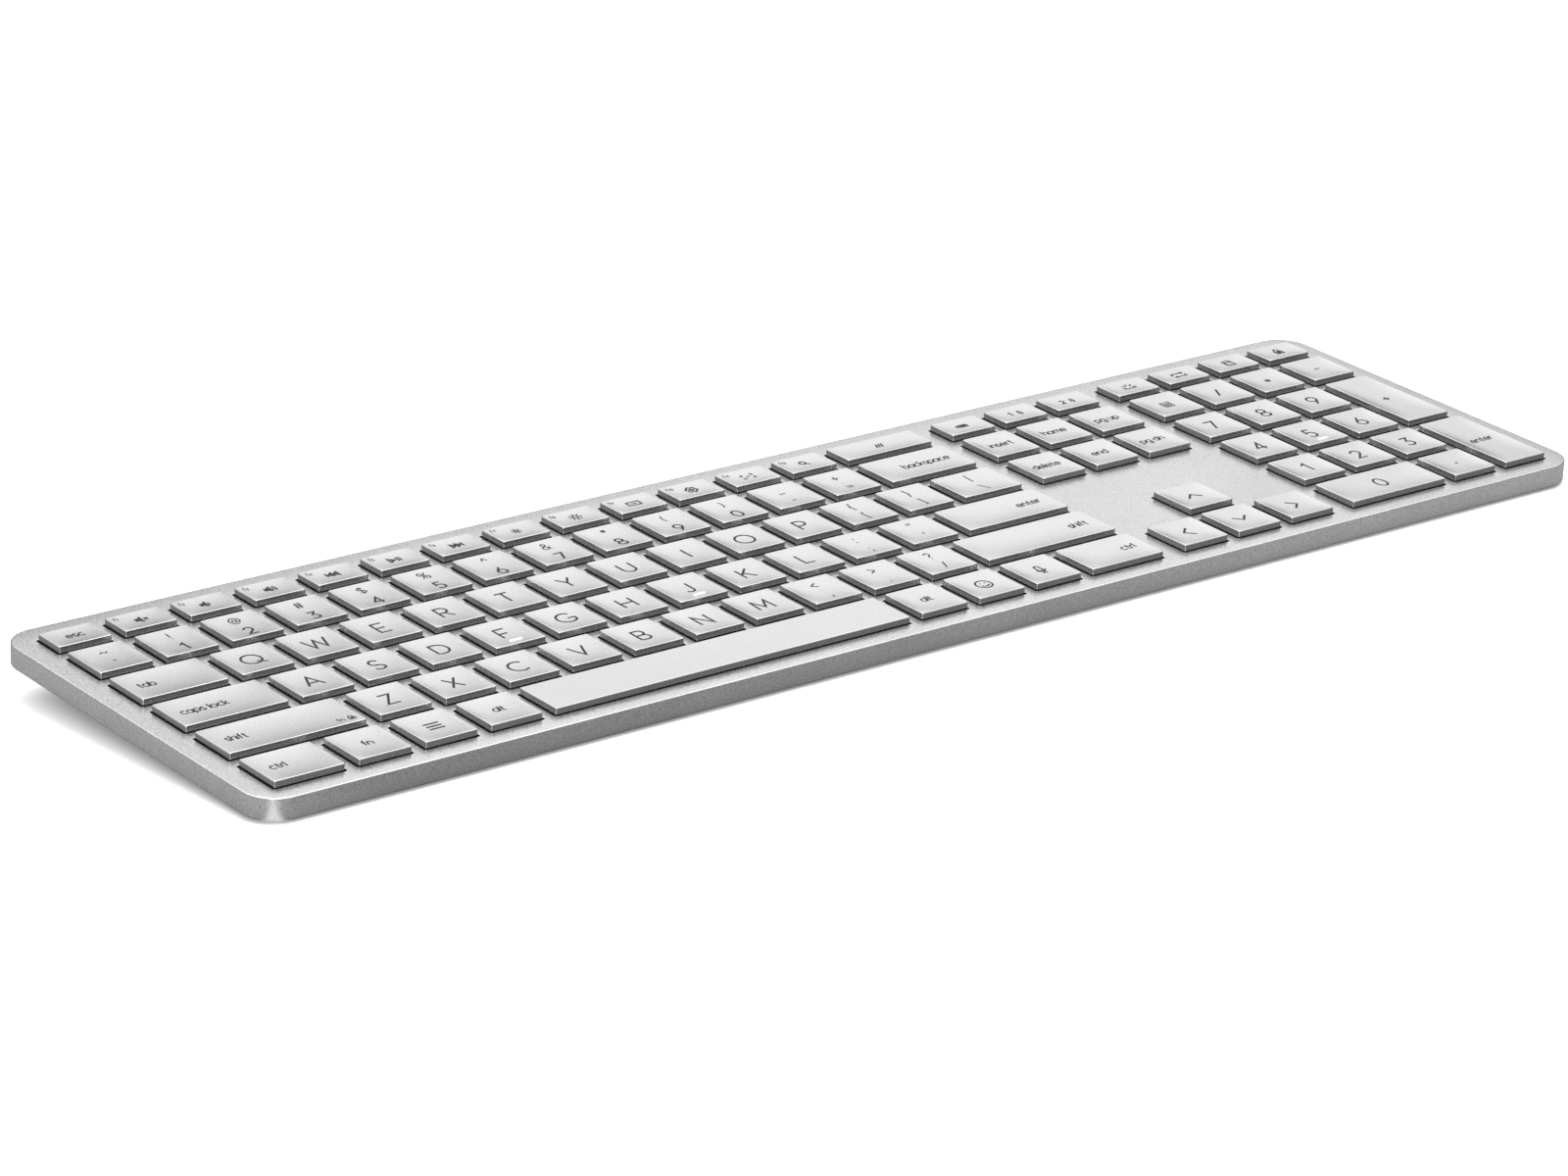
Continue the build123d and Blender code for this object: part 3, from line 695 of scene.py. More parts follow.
word("esc", "esc", "centre")
word("tab", "tab", "left", 3.6)
word("caps", "caps lock", "left", 3.6)
word("lshift", "shift", "left", 3.9)
word("lctrl", "ctrl", "left", 3.9)
word("fn", "fn", "centre")
word("lalt", "alt", "centre")
word("ralt", "alt", "centre")
word("rctrl", "ctrl", "right", 3.7)
word("rshift", "shift", "right", 3.7)
word("enter", "enter", "right", 3.7)
word("backspace", "backspace", "right", 3.7)
word("insert", "insert", "centre")
word("home", "home", "centre")
word("pgup", "pg up", "centre")
word("delete", "delete", "centre")
word("end", "end", "centre")
word("pgdn", "pg dn", "centre")
word("penter", "enter", "centre")
put("up", icon([[(-2.3, -1.2), (0, 1.2), (2.3, -1.2)]]))
put("down", icon([[(-2.3, 1.2), (0, -1.2), (2.3, 1.2)]]))
put("left", icon([[(1.2, 2.3), (-1.2, 0), (1.2, -2.3)]]))
put("right", icon([[(-1.2, 2.3), (1.2, 0), (-1.2, -2.3)]]))
# three plain bars for the system menu key
put("menu", icon([[(-2.2, y), (2.2, y)] for y in (-1.5, 0, 1.5)]), 0.7)
put("emoji", icon([arc(0, 0, 2.3, 2.3, 0, 345, 24) + ["closed"],
                   arc(0, .1, 1.35, 1.35, 205, 335),
                   [(-.8, .95), (-.8, .55)], [(.8, .95), (.8, .55)]]), FINE)
put("mic", icon([[(-.75, .2), (-.75, 1.5)] + arc(0, 1.55, .75, .75, 175, 5)
                 + [(.75, 1.5), (.75, .2)] + arc(0, .15, .75, .75, -5, -175)
                 + ["closed"], arc(0, .1, 1.35, 1.35, 185, 355),
                 [(0, -1.3), (0, -2.1)], [(-.8, -2.1), (.8, -2.1)]]), FINE)
for i in range(1, 13):
    p, w = text(f"f{i}", 1.15, font=LOW, track=.22)
    cx, cy, cw, ch = cap_rect(f"f{i}")
    digits = moved(p, -cw / 2 + 1.3, ch / 2 - 2.9)
    put(f"f{i}", digits, 0.26)
SPEAKER = [[(-1.5, .55), (-.8, .55), (.1, 1.3), (.1, -1.3), (-.8, -.55),
            (-1.5, -.55), "closed"]]
SOLID = icon([[(-1.25, 0), (-.15, 0)]])
for key in ("f1", "f2", "f3"):
    put(key, SOLID, 1.0)
for key, x0, x1 in (("f4", .55, 1.15), ("f4", -1.0, -.4), ("f5", -1.4, -.75),
                    ("f6", -1.15, -.55), ("f6", .4, 1.0)):
    put(key, icon([[(x0, 0), (x1, 0)]]), 0.75)
put("nf1", icon([[(-.9, 0), (.9, 0)]]), 0.9)
put("pf4", icon([[(-.7, -.65), (.7, -.65)]]), 1.1)
put("f10", icon([[(-.1, 0), (.1, 0)]]), 0.9)
put("f1", icon(SPEAKER + [[(.8, .6), (1.9, -.6)], [(.8, -.6), (1.9, .6)]]),
    FINE)
put("f2", icon(SPEAKER + [arc(-.1, 0, 1.0, 1.0, 45, -45)]), FINE)
put("f3", icon(SPEAKER + [arc(-.1, 0, 1.0, 1.0, 45, -45),
                          arc(-.1, 0, 1.8, 1.8, 45, -45)]), FINE)
put("f4", icon([[(0, 0), (1.5, 1.1), (1.5, -1.1), "closed"],
                [(-1.6, 0), (-.1, 1.1), (-.1, -1.1), "closed"],
                [(-1.9, 1.1), (-1.9, -1.1)]]), FINE)
put("f5", icon([[(-1.8, 1.2), (-1.8, -1.2), (0, 0), "closed"],
                [(.7, 1.2), (.7, -1.2)], [(1.5, 1.2), (1.5, -1.2)]]), FINE)
put("f6", icon([[(0, 0), (-1.5, 1.1), (-1.5, -1.1), "closed"],
                [(1.6, 0), (.1, 1.1), (.1, -1.1), "closed"],
                [(1.9, 1.1), (1.9, -1.1)]]), FINE)


def sun(r, r0, r1):
    rays = [[(r0 * math.cos(a), r0 * math.sin(a)),
             (r1 * math.cos(a), r1 * math.sin(a))]
            for a in [math.pi / 4 * k for k in range(8)]]
    return icon([arc(0, 0, r, r, 0, 340, 18) + ["closed"]] + rays)


put("f7", sun(.55, 1.0, 1.4), FINE)
put("f8", sun(.8, 1.3, 2.0), FINE)
put("f9", icon([[(-1.9, 1.1), (1.9, 1.1), (1.9, -1.1), (-1.9, -1.1),
                 "closed"], [(-.9, 0), (.9, 0)]]), FINE)
put("f10", icon([arc(0, 0, .6, .6, 0, 330, 12) + ["closed"],
                 [(r * math.cos(math.pi / 12 * k + .13),
                   r * math.sin(math.pi / 12 * k + .13))
                  for k, r in enumerate(([1.35, 1.35, 1.75, 1.75]) * 6)]
                 + ["closed"]]), FINE)
put("f11", icon([[(-1.8, .4), (-1.8, 1.2), (-1.0, 1.2)],
                 [(1.0, 1.2), (1.8, 1.2), (1.8, .4)],
                 [(1.8, -.4), (1.8, -1.2), (1.0, -1.2)],
                 [(-1.0, -1.2), (-1.8, -1.2), (-1.8, -.4)],
                 [(-.6, 0), (.6, 0)]]), FINE)
put("f12", icon([arc(-.3, .3, .9, .9, 0, 340, 18) + ["closed"],
                 [(.45, -.45), (1.4, -1.4)]]), 0.6)
put("fwide", icon([[(-1.3, -1.1), (-.5, 1.1)], [(-.4, -1.1), (.4, 1.1)],
                   [(.5, -1.1), (1.3, 1.1)]]), FINE)
put("nf1", icon([[(-1.3, .7), (1.3, .7), (1.3, -.7), (-1.3, -.7), "closed"],
                 [(-1.3, .4), (-2.2, .4), (-2.2, -.4), (-1.3, -.4)]]), BOLD)
for key, d in (("nf2", "1"), ("nf3", "2")):
    p, w = text(d, 2.2)
    put(key, moved(p, -1.9 - w / 2, -1.1), BOLD)
    put(key, icon([arc(.2, 0, .9, 1.0, 50, -50),
                   arc(.2, 0, 1.7, 1.8, 50, -50)]), BOLD)
put("pf1", icon([[(-2.1, -1.3), (2.1, -1.3)]]
                + [[(1.1 * math.cos(a), -.5 + 1.1 * math.sin(a)),
                    (2.4 * math.cos(a), -.5 + 2.4 * math.sin(a))]
                   for a in [math.pi / 4 * k for k in range(5)]]), BOLD)
put("pf2", icon([[(-2.1, -.2), (-2.1, 1.1), (1.8, 1.1)],
                 [(2.1, .2), (2.1, -1.1), (-1.8, -1.1)],
                 [(1.2, 1.7), (1.9, 1.1), (1.2, .5)],
                 [(-1.2, -1.7), (-1.9, -1.1), (-1.2, -.5)]]), BOLD)
put("pf3", icon([[(-1.3, -1.6), (1.3, -1.6), (1.3, 1.6), (-1.3, 1.6),
                  "closed"], [(-1.3, .7), (1.3, .7)],
                 [(-.5, -.1), (-.5, -.3)], [(.5, -.1), (.5, -.3)],
                 [(-.5, -.8), (-.5, -1.0)], [(.5, -.8), (.5, -1.0)]]), BOLD)
put("pf4", icon([[(-1.2, -1.5), (1.2, -1.5), (1.2, .2), (-1.2, .2),
                  "closed"],
                 [(-.75, .35), (-.75, .9)] + arc(0, .9, .75, .75, 175, 5)
                 + [(.75, .9), (.75, .35)]]), BOLD)
p, w = text("fn", 1.3, font=LOW, track=.2)
cx, cy, cw, ch = cap_rect("lshift")
put("lshift", moved(p, cw / 2 - 6.6, -ch / 2 + 1.9), 0.3)
put("lshift", [([(cw / 2 - 3.1, -ch / 2 + 2.4),
                 (cw / 2 - 2.1, -ch / 2 + 2.4)], False)], 0.9)
put("lshift", moved(icon([[(-1.0, -1.0), (1.0, -1.0), (1.0, .3), (-1.0, .3),
                           "closed"],
                          [(-.6, .42), (-.6, .8)]
                          + arc(0, .8, .6, .6, 175, 5)
                          + [(.6, .8), (.6, .42)]]),
                    cw / 2 - 2.6, -ch / 2 + 2.7, .9), 0.3)
HOMING = {"f", "j", "p5"}

# -------------------------------------------------------------------- caps
EDGE = 0.20         # rounding of the cap's top edge, mm
DISH_Y, DISH_X = 0.36, 0.0


def dish(name, w, h):
    """Height of a cap's top: hollow from front to back, level along its left and right edges; the space bar's is nearly flat."""
    a, b = w / 2 - EDGE, h / 2 - EDGE
    dy = DISH_Y * min(1.0, h / 15.0)
    dx = DISH_X
    if name == "space":
        dx, dy = 0.0, 0.03

    def z(x, y):
        u = np.clip(np.abs(np.asarray(x, float)) / a, 0, 1)
        v = np.clip(np.abs(np.asarray(y, float)) / b, 0, 1)
        return CAP_UP - (1 - u ** 4) * (dy * (1 - v * v) + dx * (1 - u * u))
    return z


def across(ring, tall=False):
    """Quads that join each point of a closed ring to the one straight across it, over the ring's narrow way."""
    n = len(ring)
    c = ring[:, :2].mean(0)
    q = ring[:, :2] - c
    if tall:
        q = np.c_[q[:, 1], -q[:, 0]]
    s = min(range(n), key=lambda i: (round(q[i, 0], 4), q[i, 1]))
    order = [(s + i) % n for i in range(n)]
    lower, upper = [], []
    for i in order:
        (lower if q[i, 1] < -1e-6 else upper).append(i)
    lower.sort(key=lambda i: q[i, 0])
    upper.sort(key=lambda i: q[i, 0])
    out, a, b = [], 0, 0
    while a < len(lower) - 1 or b < len(upper) - 1:
        both = a < len(lower) - 1 and b < len(upper) - 1
        if both and abs(q[lower[a + 1], 0] - q[upper[b + 1], 0]) < 1e-5:
            out.append((lower[a], lower[a + 1], upper[b + 1], upper[b]))
            a, b = a + 1, b + 1
        elif b >= len(upper) - 1 or (
                both and q[lower[a + 1], 0] < q[upper[b + 1], 0]):
            out.append((lower[a], lower[a + 1], upper[b]))
            a += 1
        else:
            out.append((lower[a], upper[b + 1], upper[b]))
            b += 1
    return out


def build_cap(mesh, name):
    cx, cy, w, h = cap_rect(name)
    a, b = w / 2, h / 2
    nx = max(6, int(w / 1.3))
    ny = max(6, int(h / 1.3))
    f = dish(name, w, h)

    def ring(d, z=None, r=None, surf=False):
        p = ring_xy(a - d, b - d, max(CAP_R - d * .8, 0.05) if r is None
                    else r, 6, nx, ny)
        zz = f(p[:, 0], p[:, 1])
        if not surf:
            zz = np.full(len(p), z) + (zz - CAP_UP) * (z > CAP_UP - 0.4)
        return np.c_[p[:, 0] + cx, p[:, 1] + cy, zz]

    rings = []
    # inner hollow, from its roof down to the skirt, then the outside up to just under the deck's top: all near-black,
    # painted shade
    roof = CAP_UP - 0.9
    rings.append(ring(1.0, roof, 0.4))
    rings.append(ring(1.0, -CAP_DOWN + 0.1, 0.4))
    rings.append(ring(0.9, -CAP_DOWN, 0.45))
    rings.append(ring(0.12, -CAP_DOWN, CAP_R - .1))
    rings.append(ring(0.0, -CAP_DOWN + 0.12))
    rings.append(ring(0.0, -0.05))
    rings.append(ring(0.0, CAP_UP - EDGE - 0.10))
    for i in range(0, 5):
        t = math.pi / 2 * i / 4
        rings.append(ring(EDGE * (1 - math.cos(t)),
                          CAP_UP - EDGE * (1 - math.sin(t))))
    dmax = min(a, b)
    steps = [EDGE + .05, EDGE + .3, EDGE + .8]
    k = 10
    steps += [EDGE + .8 + (dmax - EDGE - 1.1) * i / k
              for i in range(1, k + 1)]
    for d in steps:
        rings.append(ring(d, surf=True))
    n = len(rings[0])
    inner, side, top = [], [], []
    for q in range(len(rings) - 1):
        for i in range(n):
            j = (i + 1) % n
            (inner if q < 5 else side if q == 5 else top).append(
                (q * n + i, q * n + j, (q + 1) * n + j, (q + 1) * n + i))
    inner += [tuple(reversed(p)) for p in across(rings[0], h > w)]
    top += [tuple((len(rings) - 1) * n + i for i in p)
            for p in across(rings[-1], h > w)]
    k = mesh.add(np.vstack(rings), top, 0)
    # the side walls above the deck take the darker silver, painted shade
    mesh.more(k, side, 2)
    mesh.more(k, inner, 3)

    def surf(x, y):
        return f(x, y) + 0.004

    for paths, width in LEG.get(name, []):
        for p, closed in paths:
            # long strokes follow the dish, so they are cut into short runs
            q = [p[0]]
            for s, e in zip(p, p[1:]):
                m = max(1, int(math.hypot(e[0] - s[0], e[1] - s[1]) / 1.2))
                q += [(s[0] + (e[0] - s[0]) * i / m,
                       s[1] + (e[1] - s[1]) * i / m) for i in range(1, m + 1)]
            sub = Mesh()
            ribbon(sub, q, closed, width, 0.020, surf, 1)
            if sub.v:
                v = np.vstack(sub.v)
                v[:, 0] += cx
                v[:, 1] += cy
                mesh.add(v, sub.f, 1)
    # homing bar, in the near-white material that paints its highlight
    if name in HOMING:
        rings = []
        for d, z in ((0, -.1), (0, .16), (.10, .25), (.25, .28)):
            p = ring_xy(1.9 - d, .42 - d * .9, .38, 5, 4, 1)
            base = f(p[:, 0], p[:, 1] - h / 2 + 2.4)
            rings.append(np.c_[p[:, 0] + cx, p[:, 1] + cy - h / 2 + 2.4,
                               base + z])
        loft(mesh, rings, 4, True, True)


for node, names in KEY_NODES.items():
    m = Mesh()
    for n in names:
        build_cap(m, n)
    m.object(node + "_caps" if len(names) > 1 else node + "_cap",
             ["cap", "ink", "side", "slot", "bar"], "body_" + node, "keycap_silver", (node,))

# ------------------------------------------------- domes, scissors and wires
MEMB_TOP = -3.3
ROOF_Z = CAP_UP - 0.9


def circle(r, z, n=20):
    t = np.arange(n) * 2 * math.pi / n
    return np.c_[r * np.cos(t), r * np.sin(t), np.full(n, z)]


def add_dome(mesh, cx, cy, small):
    rb, rt = (1.9, 1.2) if small else (3.1, 1.7)
    top = ROOF_Z - 0.05
    prof = [(rb - .6, MEMB_TOP), (rb - .05, MEMB_TOP), (rb, MEMB_TOP + .06),
            (rb, MEMB_TOP + .28), (rb - .1, MEMB_TOP + .36)]
    z0, z1 = MEMB_TOP + .36, top - 1.0
    for i in range(1, 8):
        t = i / 8
        prof.append((rb - .1 + (rt - rb + .1) * (t * .6 + .4 * t * t),
                     z0 + (z1 - z0) * (t * .7 + .3 * t ** .5)))
    prof += [(rt, z1), (rt, top - .12), (rt - .1, top), (rt * .5, top)]
    off = np.array([cx, cy, 0])
    loft(mesh, [circle(r, z) + off for r, z in prof], 0, True, True)


def add_frame(mesh, cx, cy, small, outer):
    L = 7.2 if small else 11.0
    thick, bar = 0.7, 1.1
    rise = (ROOF_Z - 0.15) - (MEMB_TOP + 0.1)
    a = math.asin((rise - thick) / L) * (1 if outer else -1)
    zm = (ROOF_Z - 0.15 + MEMB_TOP + 0.1) / 2
    wo, side = (10.9, 1.1) if outer else (8.5, .8)
    c, h = 0.12, thick / 2
    rings = []
    for out, d, z in ((1, c, -h), (1, 0, -h + c), (1, 0, h - c), (1, c, h),
                      (0, -c, h), (0, 0, h - c), (0, 0, -h + c),
                      (0, -c, -h)):
        if out:
            p = ring_xy(wo / 2 - d, L / 2 - d, .7 - d, 4)
        else:
            p = ring_xy(wo / 2 - side - d, L / 2 - bar - d, .4 + d, 4)
        y = p[:, 1] * math.cos(a) - z * math.sin(a)
        zz = p[:, 1] * math.sin(a) + z * math.cos(a)
        rings.append(np.c_[p[:, 0] + cx, y + cy, zz + zm])
    n = len(rings[0])
    k = len(rings)
    faces = [(q * n + i, q * n + (i + 1) % n,
              ((q + 1) % k) * n + (i + 1) % n, ((q + 1) % k) * n + i)
             for q in range(k) for i in range(n)]
    mesh.add(np.vstack(rings), faces, 0)


def add_wire(mesh, name):
    cx, cy, w, h = cap_rect(name)
    up = h > w
    half = (h if up else w) / 2 - 2.2
    z1, z0, arm = ROOF_Z - 0.5, MEMB_TOP + 0.4, 4.6
    off = 6.1 if not up else 5.9
    r, bend = 0.35, 0.9
    corner = [np.array(p, float) for p in
              ((-half, off - arm, z0), (-half, off, z1), (half, off, z1),
               (half, off - arm, z0))]
    path = [corner[0]]
    for p, q, e in zip(corner, corner[1:], corner[2:]):
        u = (p - q) / np.linalg.norm(p - q)
        v = (e - q) / np.linalg.norm(e - q)
        for i in range(7):
            t = i / 6
            path.append(q + u * bend * (1 - t) ** 2 + v * bend * t * t)
    path.append(corner[-1])
    path = np.array(path)
    rings = []
    for i, p in enumerate(path):
        d = path[min(i + 1, len(path) - 1)] - path[max(i - 1, 0)]
        d /= np.linalg.norm(d)
        a = np.cross(d, (0, .45, .9))
        a /= np.linalg.norm(a)
        b = np.cross(d, a)
        t = np.arange(12) * math.pi / 6
        rings.append(p + r * (np.cos(t)[:, None] * a
                              + np.sin(t)[:, None] * b))
    v = np.vstack(rings)
    if up:
        v = np.c_[v[:, 1], -v[:, 0], v[:, 2]]
    rings = np.split(v + np.array([cx, cy, 0]), len(rings))
    loft(mesh, rings, 0, True, True)


WIRED = ("space", "enter", "backspace", "lshift", "rshift", "p0", "caps",
         "tab", "plus", "penter")
for node, names in KEY_NODES.items():
    built = []
    for part, mat, slot, cad in (
            ("dome", "silicone", "dome_rubber", "rubber_domes"),
            ("outer_scissor", "nylon", "white_nylon",
             "scissor_outer_frames"),
            ("inner_scissor", "nylon", "white_nylon",
             "scissor_inner_frames"),
            ("wire", "steel", "wire_steel", "stabiliser_wires")):
        m = Mesh()
        for n in names:
            cx, cy, w, h = cap_rect(n)
            small = min(w, h) < 12
            if part == "dome":
                add_dome(m, cx, cy, small)
            elif part == "wire":
                if n in WIRED:
                    add_wire(m, n)
            else:
                add_frame(m, cx, cy, small, part == "outer_scissor")
        if not m.v:
            continue
        o = m.object(f"{node}_{part}", [mat], "chassis", slot, (cad,))
        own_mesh(o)

# ---------------------------------------------------------------- top cover
XC, YC = (X0 + X1) / 2, (Y0 + Y1) / 2
DW, DD = DECK_W / 2, (Y1 - Y0) / 2


def fill(outer, holes):
    """Triangles between an outline and its holes. Returns faces that index into outer followed by the holes' points."""
    pts = [Vector(p) for p in outer]
    faces_in = []
    edges = [(i, (i + 1) % len(outer)) for i in range(len(outer))]
    for h in holes:
        k = len(pts)
        pts += [Vector(p) for p in h]
        edges += [(k + i, k + (i + 1) % len(h)) for i in range(len(h))]
    v, e, f, ov, oe, of_ = delaunay_2d_cdt(pts, edges, faces_in, 0, 1e-7)
    return v, f, ov


def deck_faces(outer, holes):
    """As fill(), with the triangles inside a hole or outside the outline left out."""
    v, f, ov = fill(outer, holes)
    co = np.array([tuple(p) for p in v])
    tri = np.array([t for t in f])
    c = co[tri].mean(1)
    keep = np.ones(len(tri), bool)
    for h in holes:
        h = np.asarray(h)
        lo_, hi_ = h.min(0), h.max(0)
        near = ((c > lo_) & (c < hi_)).all(1) & keep
        for i in np.nonzero(near)[0]:
            t = tri[i]
            # every corner of a triangle inside a hole is on that hole
            if inside(c[i], h):
                keep[i] = False
    back = {i: (ov[i][0] if ov[i] else None) for i in range(len(ov))}
    return [tuple(back[int(j)] for j in t) for t in tri[keep]]


def inside(p, poly):
    x, y = p
    px, py = poly[:, 0], poly[:, 1]
    qx, qy = np.roll(px, -1), np.roll(py, -1)
    hit = ((py > y) != (qy > y)) & (
        x < (qx - px) * (y - py) / (qy - py + 1e-15) + px)
    return bool(hit.sum() % 2)


def build_top():
    mesh = Mesh()
    NC = 14

    def outline(d):
        p = ring_xy(DW - d, DD - d, 9.0 - d, NC, 24, 8)
        return p + np.array([XC, YC])

    # outside, from the inner ceiling's edge round the bottom lip to the top
    profile = [(WALL_T, -DECK_T), (WALL_T, -SLAB_H)]
    profile += [(0.6, -SLAB_H)]
    for i in range(1, 7):
        t = math.pi / 2 * i / 6
        profile.append((0.6 - 0.6 * math.sin(t),
                        -SLAB_H + 0.6 - 0.6 * math.cos(t)))
    for i in range(0, 7):
        t = math.pi / 2 * i / 6
        profile.append((0.35 * (1 - math.cos(t)), -0.35 + 0.35 * math.sin(t)))
    rings = [np.c_[outline(d), np.full(len(outline(d)), z)]
             for d, z in profile]
    n = len(rings[0])
    verts = [np.vstack(rings)]
    faces = []
    for k in range(len(rings) - 1):
        for i in range(n):
            j = (i + 1) % n
            faces.append((k * n + i, k * n + j, (k + 1) * n + j,
                          (k + 1) * n + i))
    base_ring, top_ring = 0, (len(rings) - 1) * n
    count = len(rings) * n
    # openings: a fine chamfer at the top, then straight down; below the first chamfer step the walls are near-black,
    # painted shade
    levels = [(0.10, 0.0), (0.03, -0.03), (0.0, -0.10), (0.0, -DECK_T)]
    starts, tops, bottoms, dark = [], [], [], []
    for name in CELLS:
        cx, cy, w, h = cap_rect(name)
        p0 = None
        starts.append(count)
        for g, z in levels:
            p = ring_xy(w / 2 + SLOT + g, h / 2 + SLOT + g, CAP_R + .3 + g, 5)
            p = p + np.array([cx, cy])
            if g == 0.10:
                tops.append(p)
            bottom = p
            verts.append(np.c_[p, np.full(len(p), z)])
        m = len(p)
        bottoms.append(bottom)
        for k in range(len(levels) - 1):
            for i in range(m):
                j = (i + 1) % m
                (faces if k < 1 else dark).append(
                    (count + k * m + j, count + k * m + i,
                     count + (k + 1) * m + i, count + (k + 1) * m + j))
        count += m * len(levels)
    m = len(tops[0])

    def index(i, ring_start, level):
        if i < n:
            return ring_start + i
        i -= n
        return starts[i // m] + level * m + i % m

    for t in deck_faces(outline(profile[-1][0]), tops):
        if None in t:
            continue
        faces.append(tuple(index(i, top_ring, 0) for i in t))
    for t in deck_faces(outline(WALL_T), bottoms):
        if None in t:
            continue
        faces.append(tuple(index(i, base_ring, len(levels) - 1)
                           for i in reversed(t)))
    mesh.more(mesh.add(np.vstack(verts), faces, 0), dark, 1)
    return mesh.object("deck_with_side_wall", ["deck", "slot"], "chassis",
                       "aluminium_deck", ("top_cover",), angle=25)


build_top()

# -------------------------------------------------------------------- floor
bpy.ops.mesh.primitive_plane_add(size=14, location=(0, 0, -0.00005))
floor = bpy.context.object
floor.name = "floor"
fm = bpy.data.materials.new("pale_floor")
nt, b = clear(fm)
c = ramp(nt, noise(nt, coords(nt), 3.0), [(0.3, (.90, .90, .90)),
                                          (0.7, (.92, .92, .92))])
nt.links.new(c, b.inputs["Base Color"])
b.inputs["Roughness"].default_value = 0.9
b.inputs["Specular IOR Level"].default_value = 0.0
# the floor is white to look at, with a faint even glow that lightens its shadows, and a mid grey in the object's
# reflections; that grey changes along x, a painted reflection on the side walls, and a thin glowing band hidden from
# the camera paints the highlight line down the front left corner
# grey the object sees in place of the floor; it changes along x, a painted reflection on the side walls
low_card = nt.nodes.new("ShaderNodeBsdfDiffuse")
pos = nt.nodes.new("ShaderNodeSeparateXYZ")
nt.links.new(coords(nt), pos.inputs[0])
nt.links.new(ramp(nt, maprange(nt, pos.outputs["X"], -0.25, 0.20, 0, 1),
                  [(0.0, (.34, .34, .34)), (0.17, (.19, .19, .19)),
                   (0.42, (.21, .21, .21)), (1.0, (.32, .32, .32))]),
             low_card.inputs["Color"])
glow = nt.nodes.new("ShaderNodeEmission")
glow.inputs["Strength"].default_value = 0.18
# thin glowing band on the floor, hidden from the camera and seen in reflections: a painted highlight on the front left
# corner
painted_corner_glint = nt.nodes.new("ShaderNodeEmission")
band = nt.nodes.new("ShaderNodeVectorMath")
band.operation = "DOT_PRODUCT"
nt.links.new(coords(nt), band.inputs[0])
band.inputs[1].default_value = (0.799, -0.602, 0.0)
off = nt.nodes.new("ShaderNodeMath")
off.operation = "ADD"
nt.links.new(band.outputs["Value"], off.inputs[0])
off.inputs[1].default_value = 0.2119 * 0.799 - 0.0580 * 0.602
near = nt.nodes.new("ShaderNodeMath")
near.operation = "ABSOLUTE"
nt.links.new(off.outputs[0], near.inputs[0])
nt.links.new(maprange(nt, near.outputs[0], 0.0016, 0.0042, 0.75, 0.0),
             painted_corner_glint.inputs["Strength"])
under = nt.nodes.new("ShaderNodeAddShader")
nt.links.new(low_card.outputs[0], under.inputs[0])
nt.links.new(painted_corner_glint.outputs[0], under.inputs[1])
lit = nt.nodes.new("ShaderNodeAddShader")
nt.links.new(b.outputs[0], lit.inputs[0])
nt.links.new(glow.outputs[0], lit.inputs[1])
path = nt.nodes.new("ShaderNodeLightPath")
pick = nt.nodes.new("ShaderNodeMixShader")
nt.links.new(path.outputs["Is Camera Ray"], pick.inputs[0])
nt.links.new(under.outputs[0], pick.inputs[1])
nt.links.new(lit.outputs[0], pick.inputs[2])
nt.links.new(pick.outputs[0], [n for n in nt.nodes
                               if n.type == "OUTPUT_MATERIAL"][0].inputs[0])
floor.data.materials.append(fm)

# ------------------------------------------------------------------- camera
F_PX = 5837.312237465702
ROT = (1.8861947656325566, -0.6187561325603916, 0.4799850238330522)
TR = (-118.88027885579598, 45.99658941818934, 1327.8859370879984)


def rodrigues(r):
    r = np.array(r)
    th = np.linalg.norm(r)
    k = r / th
    K = np.array([[0, -k[2], k[1]], [k[2], 0, -k[0]], [-k[1], k[0], 0]])
    return np.eye(3) + math.sin(th) * K + (1 - math.cos(th)) * K @ K


R = rodrigues(ROT)
eye_deck = -R.T @ np.array(TR) + np.array([0, 0, CAP_UP])
eye = world(eye_deck)[0]
tip = np.array([[1, 0, 0], [0, CT, -ST], [0, ST, CT]])
axes = tip @ R.T @ np.diag([1, -1, -1])
cam_data = bpy.data.cameras.new("camera")
cam_data.sensor_width = 36.0
cam_data.sensor_fit = "HORIZONTAL"
cam_data.lens = F_PX * 36.0 / 1600.0
cam_data.clip_start = 0.01
cam_data.clip_end = 50
cam = bpy.data.objects.new("camera", cam_data)
bpy.context.scene.collection.objects.link(cam)
mw = Matrix([[*axes[i], eye[i]] for i in range(3)] + [[0, 0, 0, 1]])
cam.matrix_world = mw
bpy.context.scene.camera = cam

# ------------------------------------------------------------------- lights
sc = bpy.context.scene
# the studio: a soft card behind and to the right, whose lower edge is darker,
# a bright ceiling, and little light from the other sides
LOW_SKY = [(0.0, .25), (0.17, .48), (0.27, .66), (0.38, .84), (0.52, 1.0)]
HIGH_SKY = [(0.50, 0.0), (0.75, .8), (1.0, 1.0)]
SIDE = (0.25, 0.85, 1.35)
LOBE = (0.975, 0.66, 1.95)
LOW_GAIN, HIGH_GAIN = 0.76, 1.6
sc.view_settings.view_transform = "Standard"
sc.view_settings.look = "None"
sc.view_settings.exposure = 0.0
sc.view_settings.gamma = 1.0
w = bpy.data.worlds.new("studio")
sc.world = w
w.use_nodes = True
nt = w.node_tree
nt.nodes.clear()
out = nt.nodes.new("ShaderNodeOutputWorld")
bg = nt.nodes.new("ShaderNodeBackground")
tc = nt.nodes.new("ShaderNodeTexCoord")
sep = nt.nodes.new("ShaderNodeSeparateXYZ")
nt.links.new(tc.outputs["Generated"], sep.inputs[0])


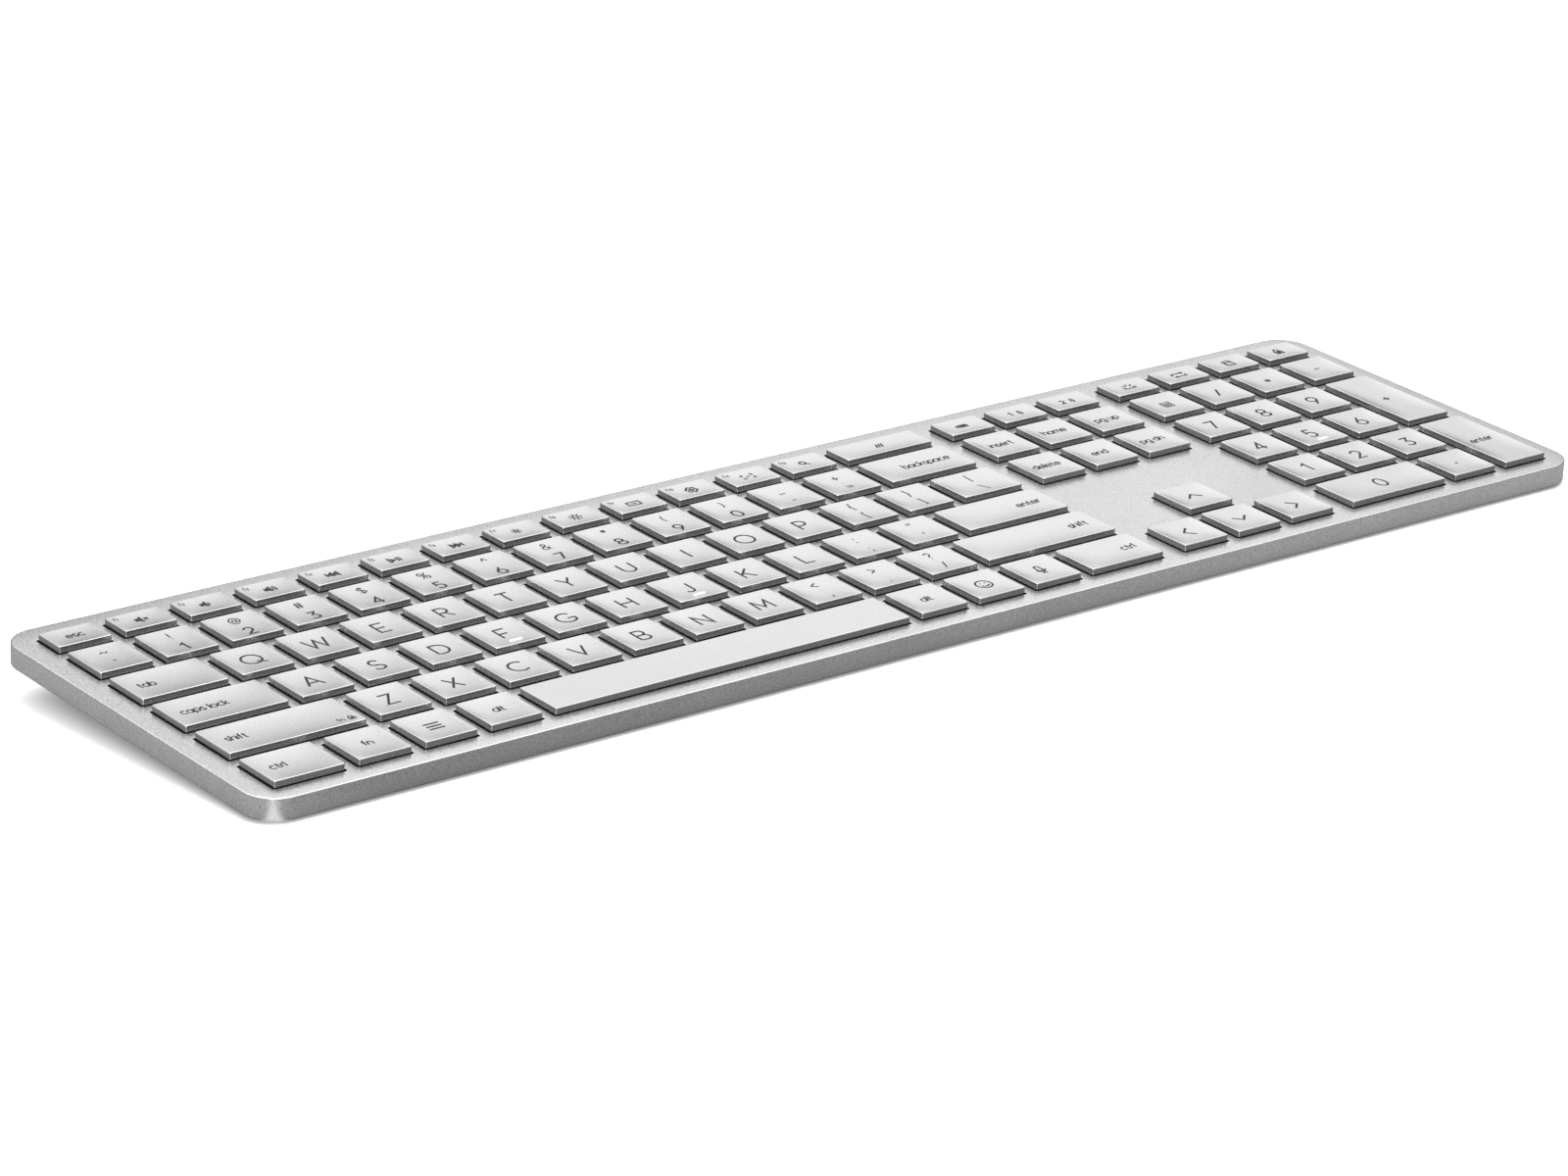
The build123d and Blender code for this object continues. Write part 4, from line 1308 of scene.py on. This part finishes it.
def wmath(op, x, y):
    m = nt.nodes.new("ShaderNodeMath")
    m.operation = op
    for i, v in enumerate((x, y)):
        if isinstance(v, (int, float)):
            m.inputs[i].default_value = v
        else:
            nt.links.new(v, m.inputs[i])
    return m.outputs[0]


def wdot(d):
    m = nt.nodes.new("ShaderNodeVectorMath")
    m.operation = "DOT_PRODUCT"
    nt.links.new(tc.outputs["Generated"], m.inputs[0])
    m.inputs[1].default_value = d
    return m.outputs["Value"]


# what the deck mirrors into the camera at its middle
view = np.array(world([[265.0, 50.0, 0.0]])[0]) - eye
view /= np.linalg.norm(view)
up = np.array([0, -ST, CT])
mirror = view - 2 * view.dot(up) * up
flat = mirror * np.array([1, 1, 0])
flat /= np.linalg.norm(flat)
low = ramp(nt, sep.outputs["Z"],
           [(p, (v,) * 3) for p, v in LOW_SKY])
high = ramp(nt, sep.outputs["Z"],
            [(p, (v,) * 3) for p, v in HIGH_SKY])
side = maprange(nt, wdot(tuple(flat)), SIDE[0], SIDE[1], SIDE[2], 1.0)
lobe = maprange(nt, wdot(tuple(mirror)), LOBE[0], 1.0, LOBE[1], LOBE[2])
total = wmath("ADD",
              wmath("MULTIPLY", wmath("MULTIPLY", low, side),
                    wmath("MULTIPLY", lobe, LOW_GAIN)),
              wmath("MULTIPLY", high, HIGH_GAIN))
nt.links.new(total, bg.inputs["Strength"])
bg.inputs["Color"].default_value = (1, 1, 1, 1)
nt.links.new(bg.outputs[0], out.inputs["Surface"])


def area(name, loc, target, size, power, color=(1, 1, 1), size_y=None):
    l = bpy.data.lights.new(name, "AREA")
    l.energy = power
    l.color = color
    l.shape = "RECTANGLE"
    l.size = size
    l.size_y = size_y or size
    o = bpy.data.objects.new(name, l)
    sc.collection.objects.link(o)
    o.location = loc
    d = Vector(target) - Vector(loc)
    o.rotation_euler = d.to_track_quat("-Z", "Y").to_euler()
    return o


area("key_above", (0.15, 0.20, 2.0), (0, 0, 0), 1.1, 9)
# a narrow strip behind the camera, for the line of light down each corner
toward = np.array([eye[0], eye[1], 0.0])
toward /= np.linalg.norm(toward)
area("corner_strip", tuple(toward * 1.1 + np.array([0, 0, 0.42])),
     (-0.19, -0.05, 0.01), 0.16, 4, size_y=0.35)
VIS = None
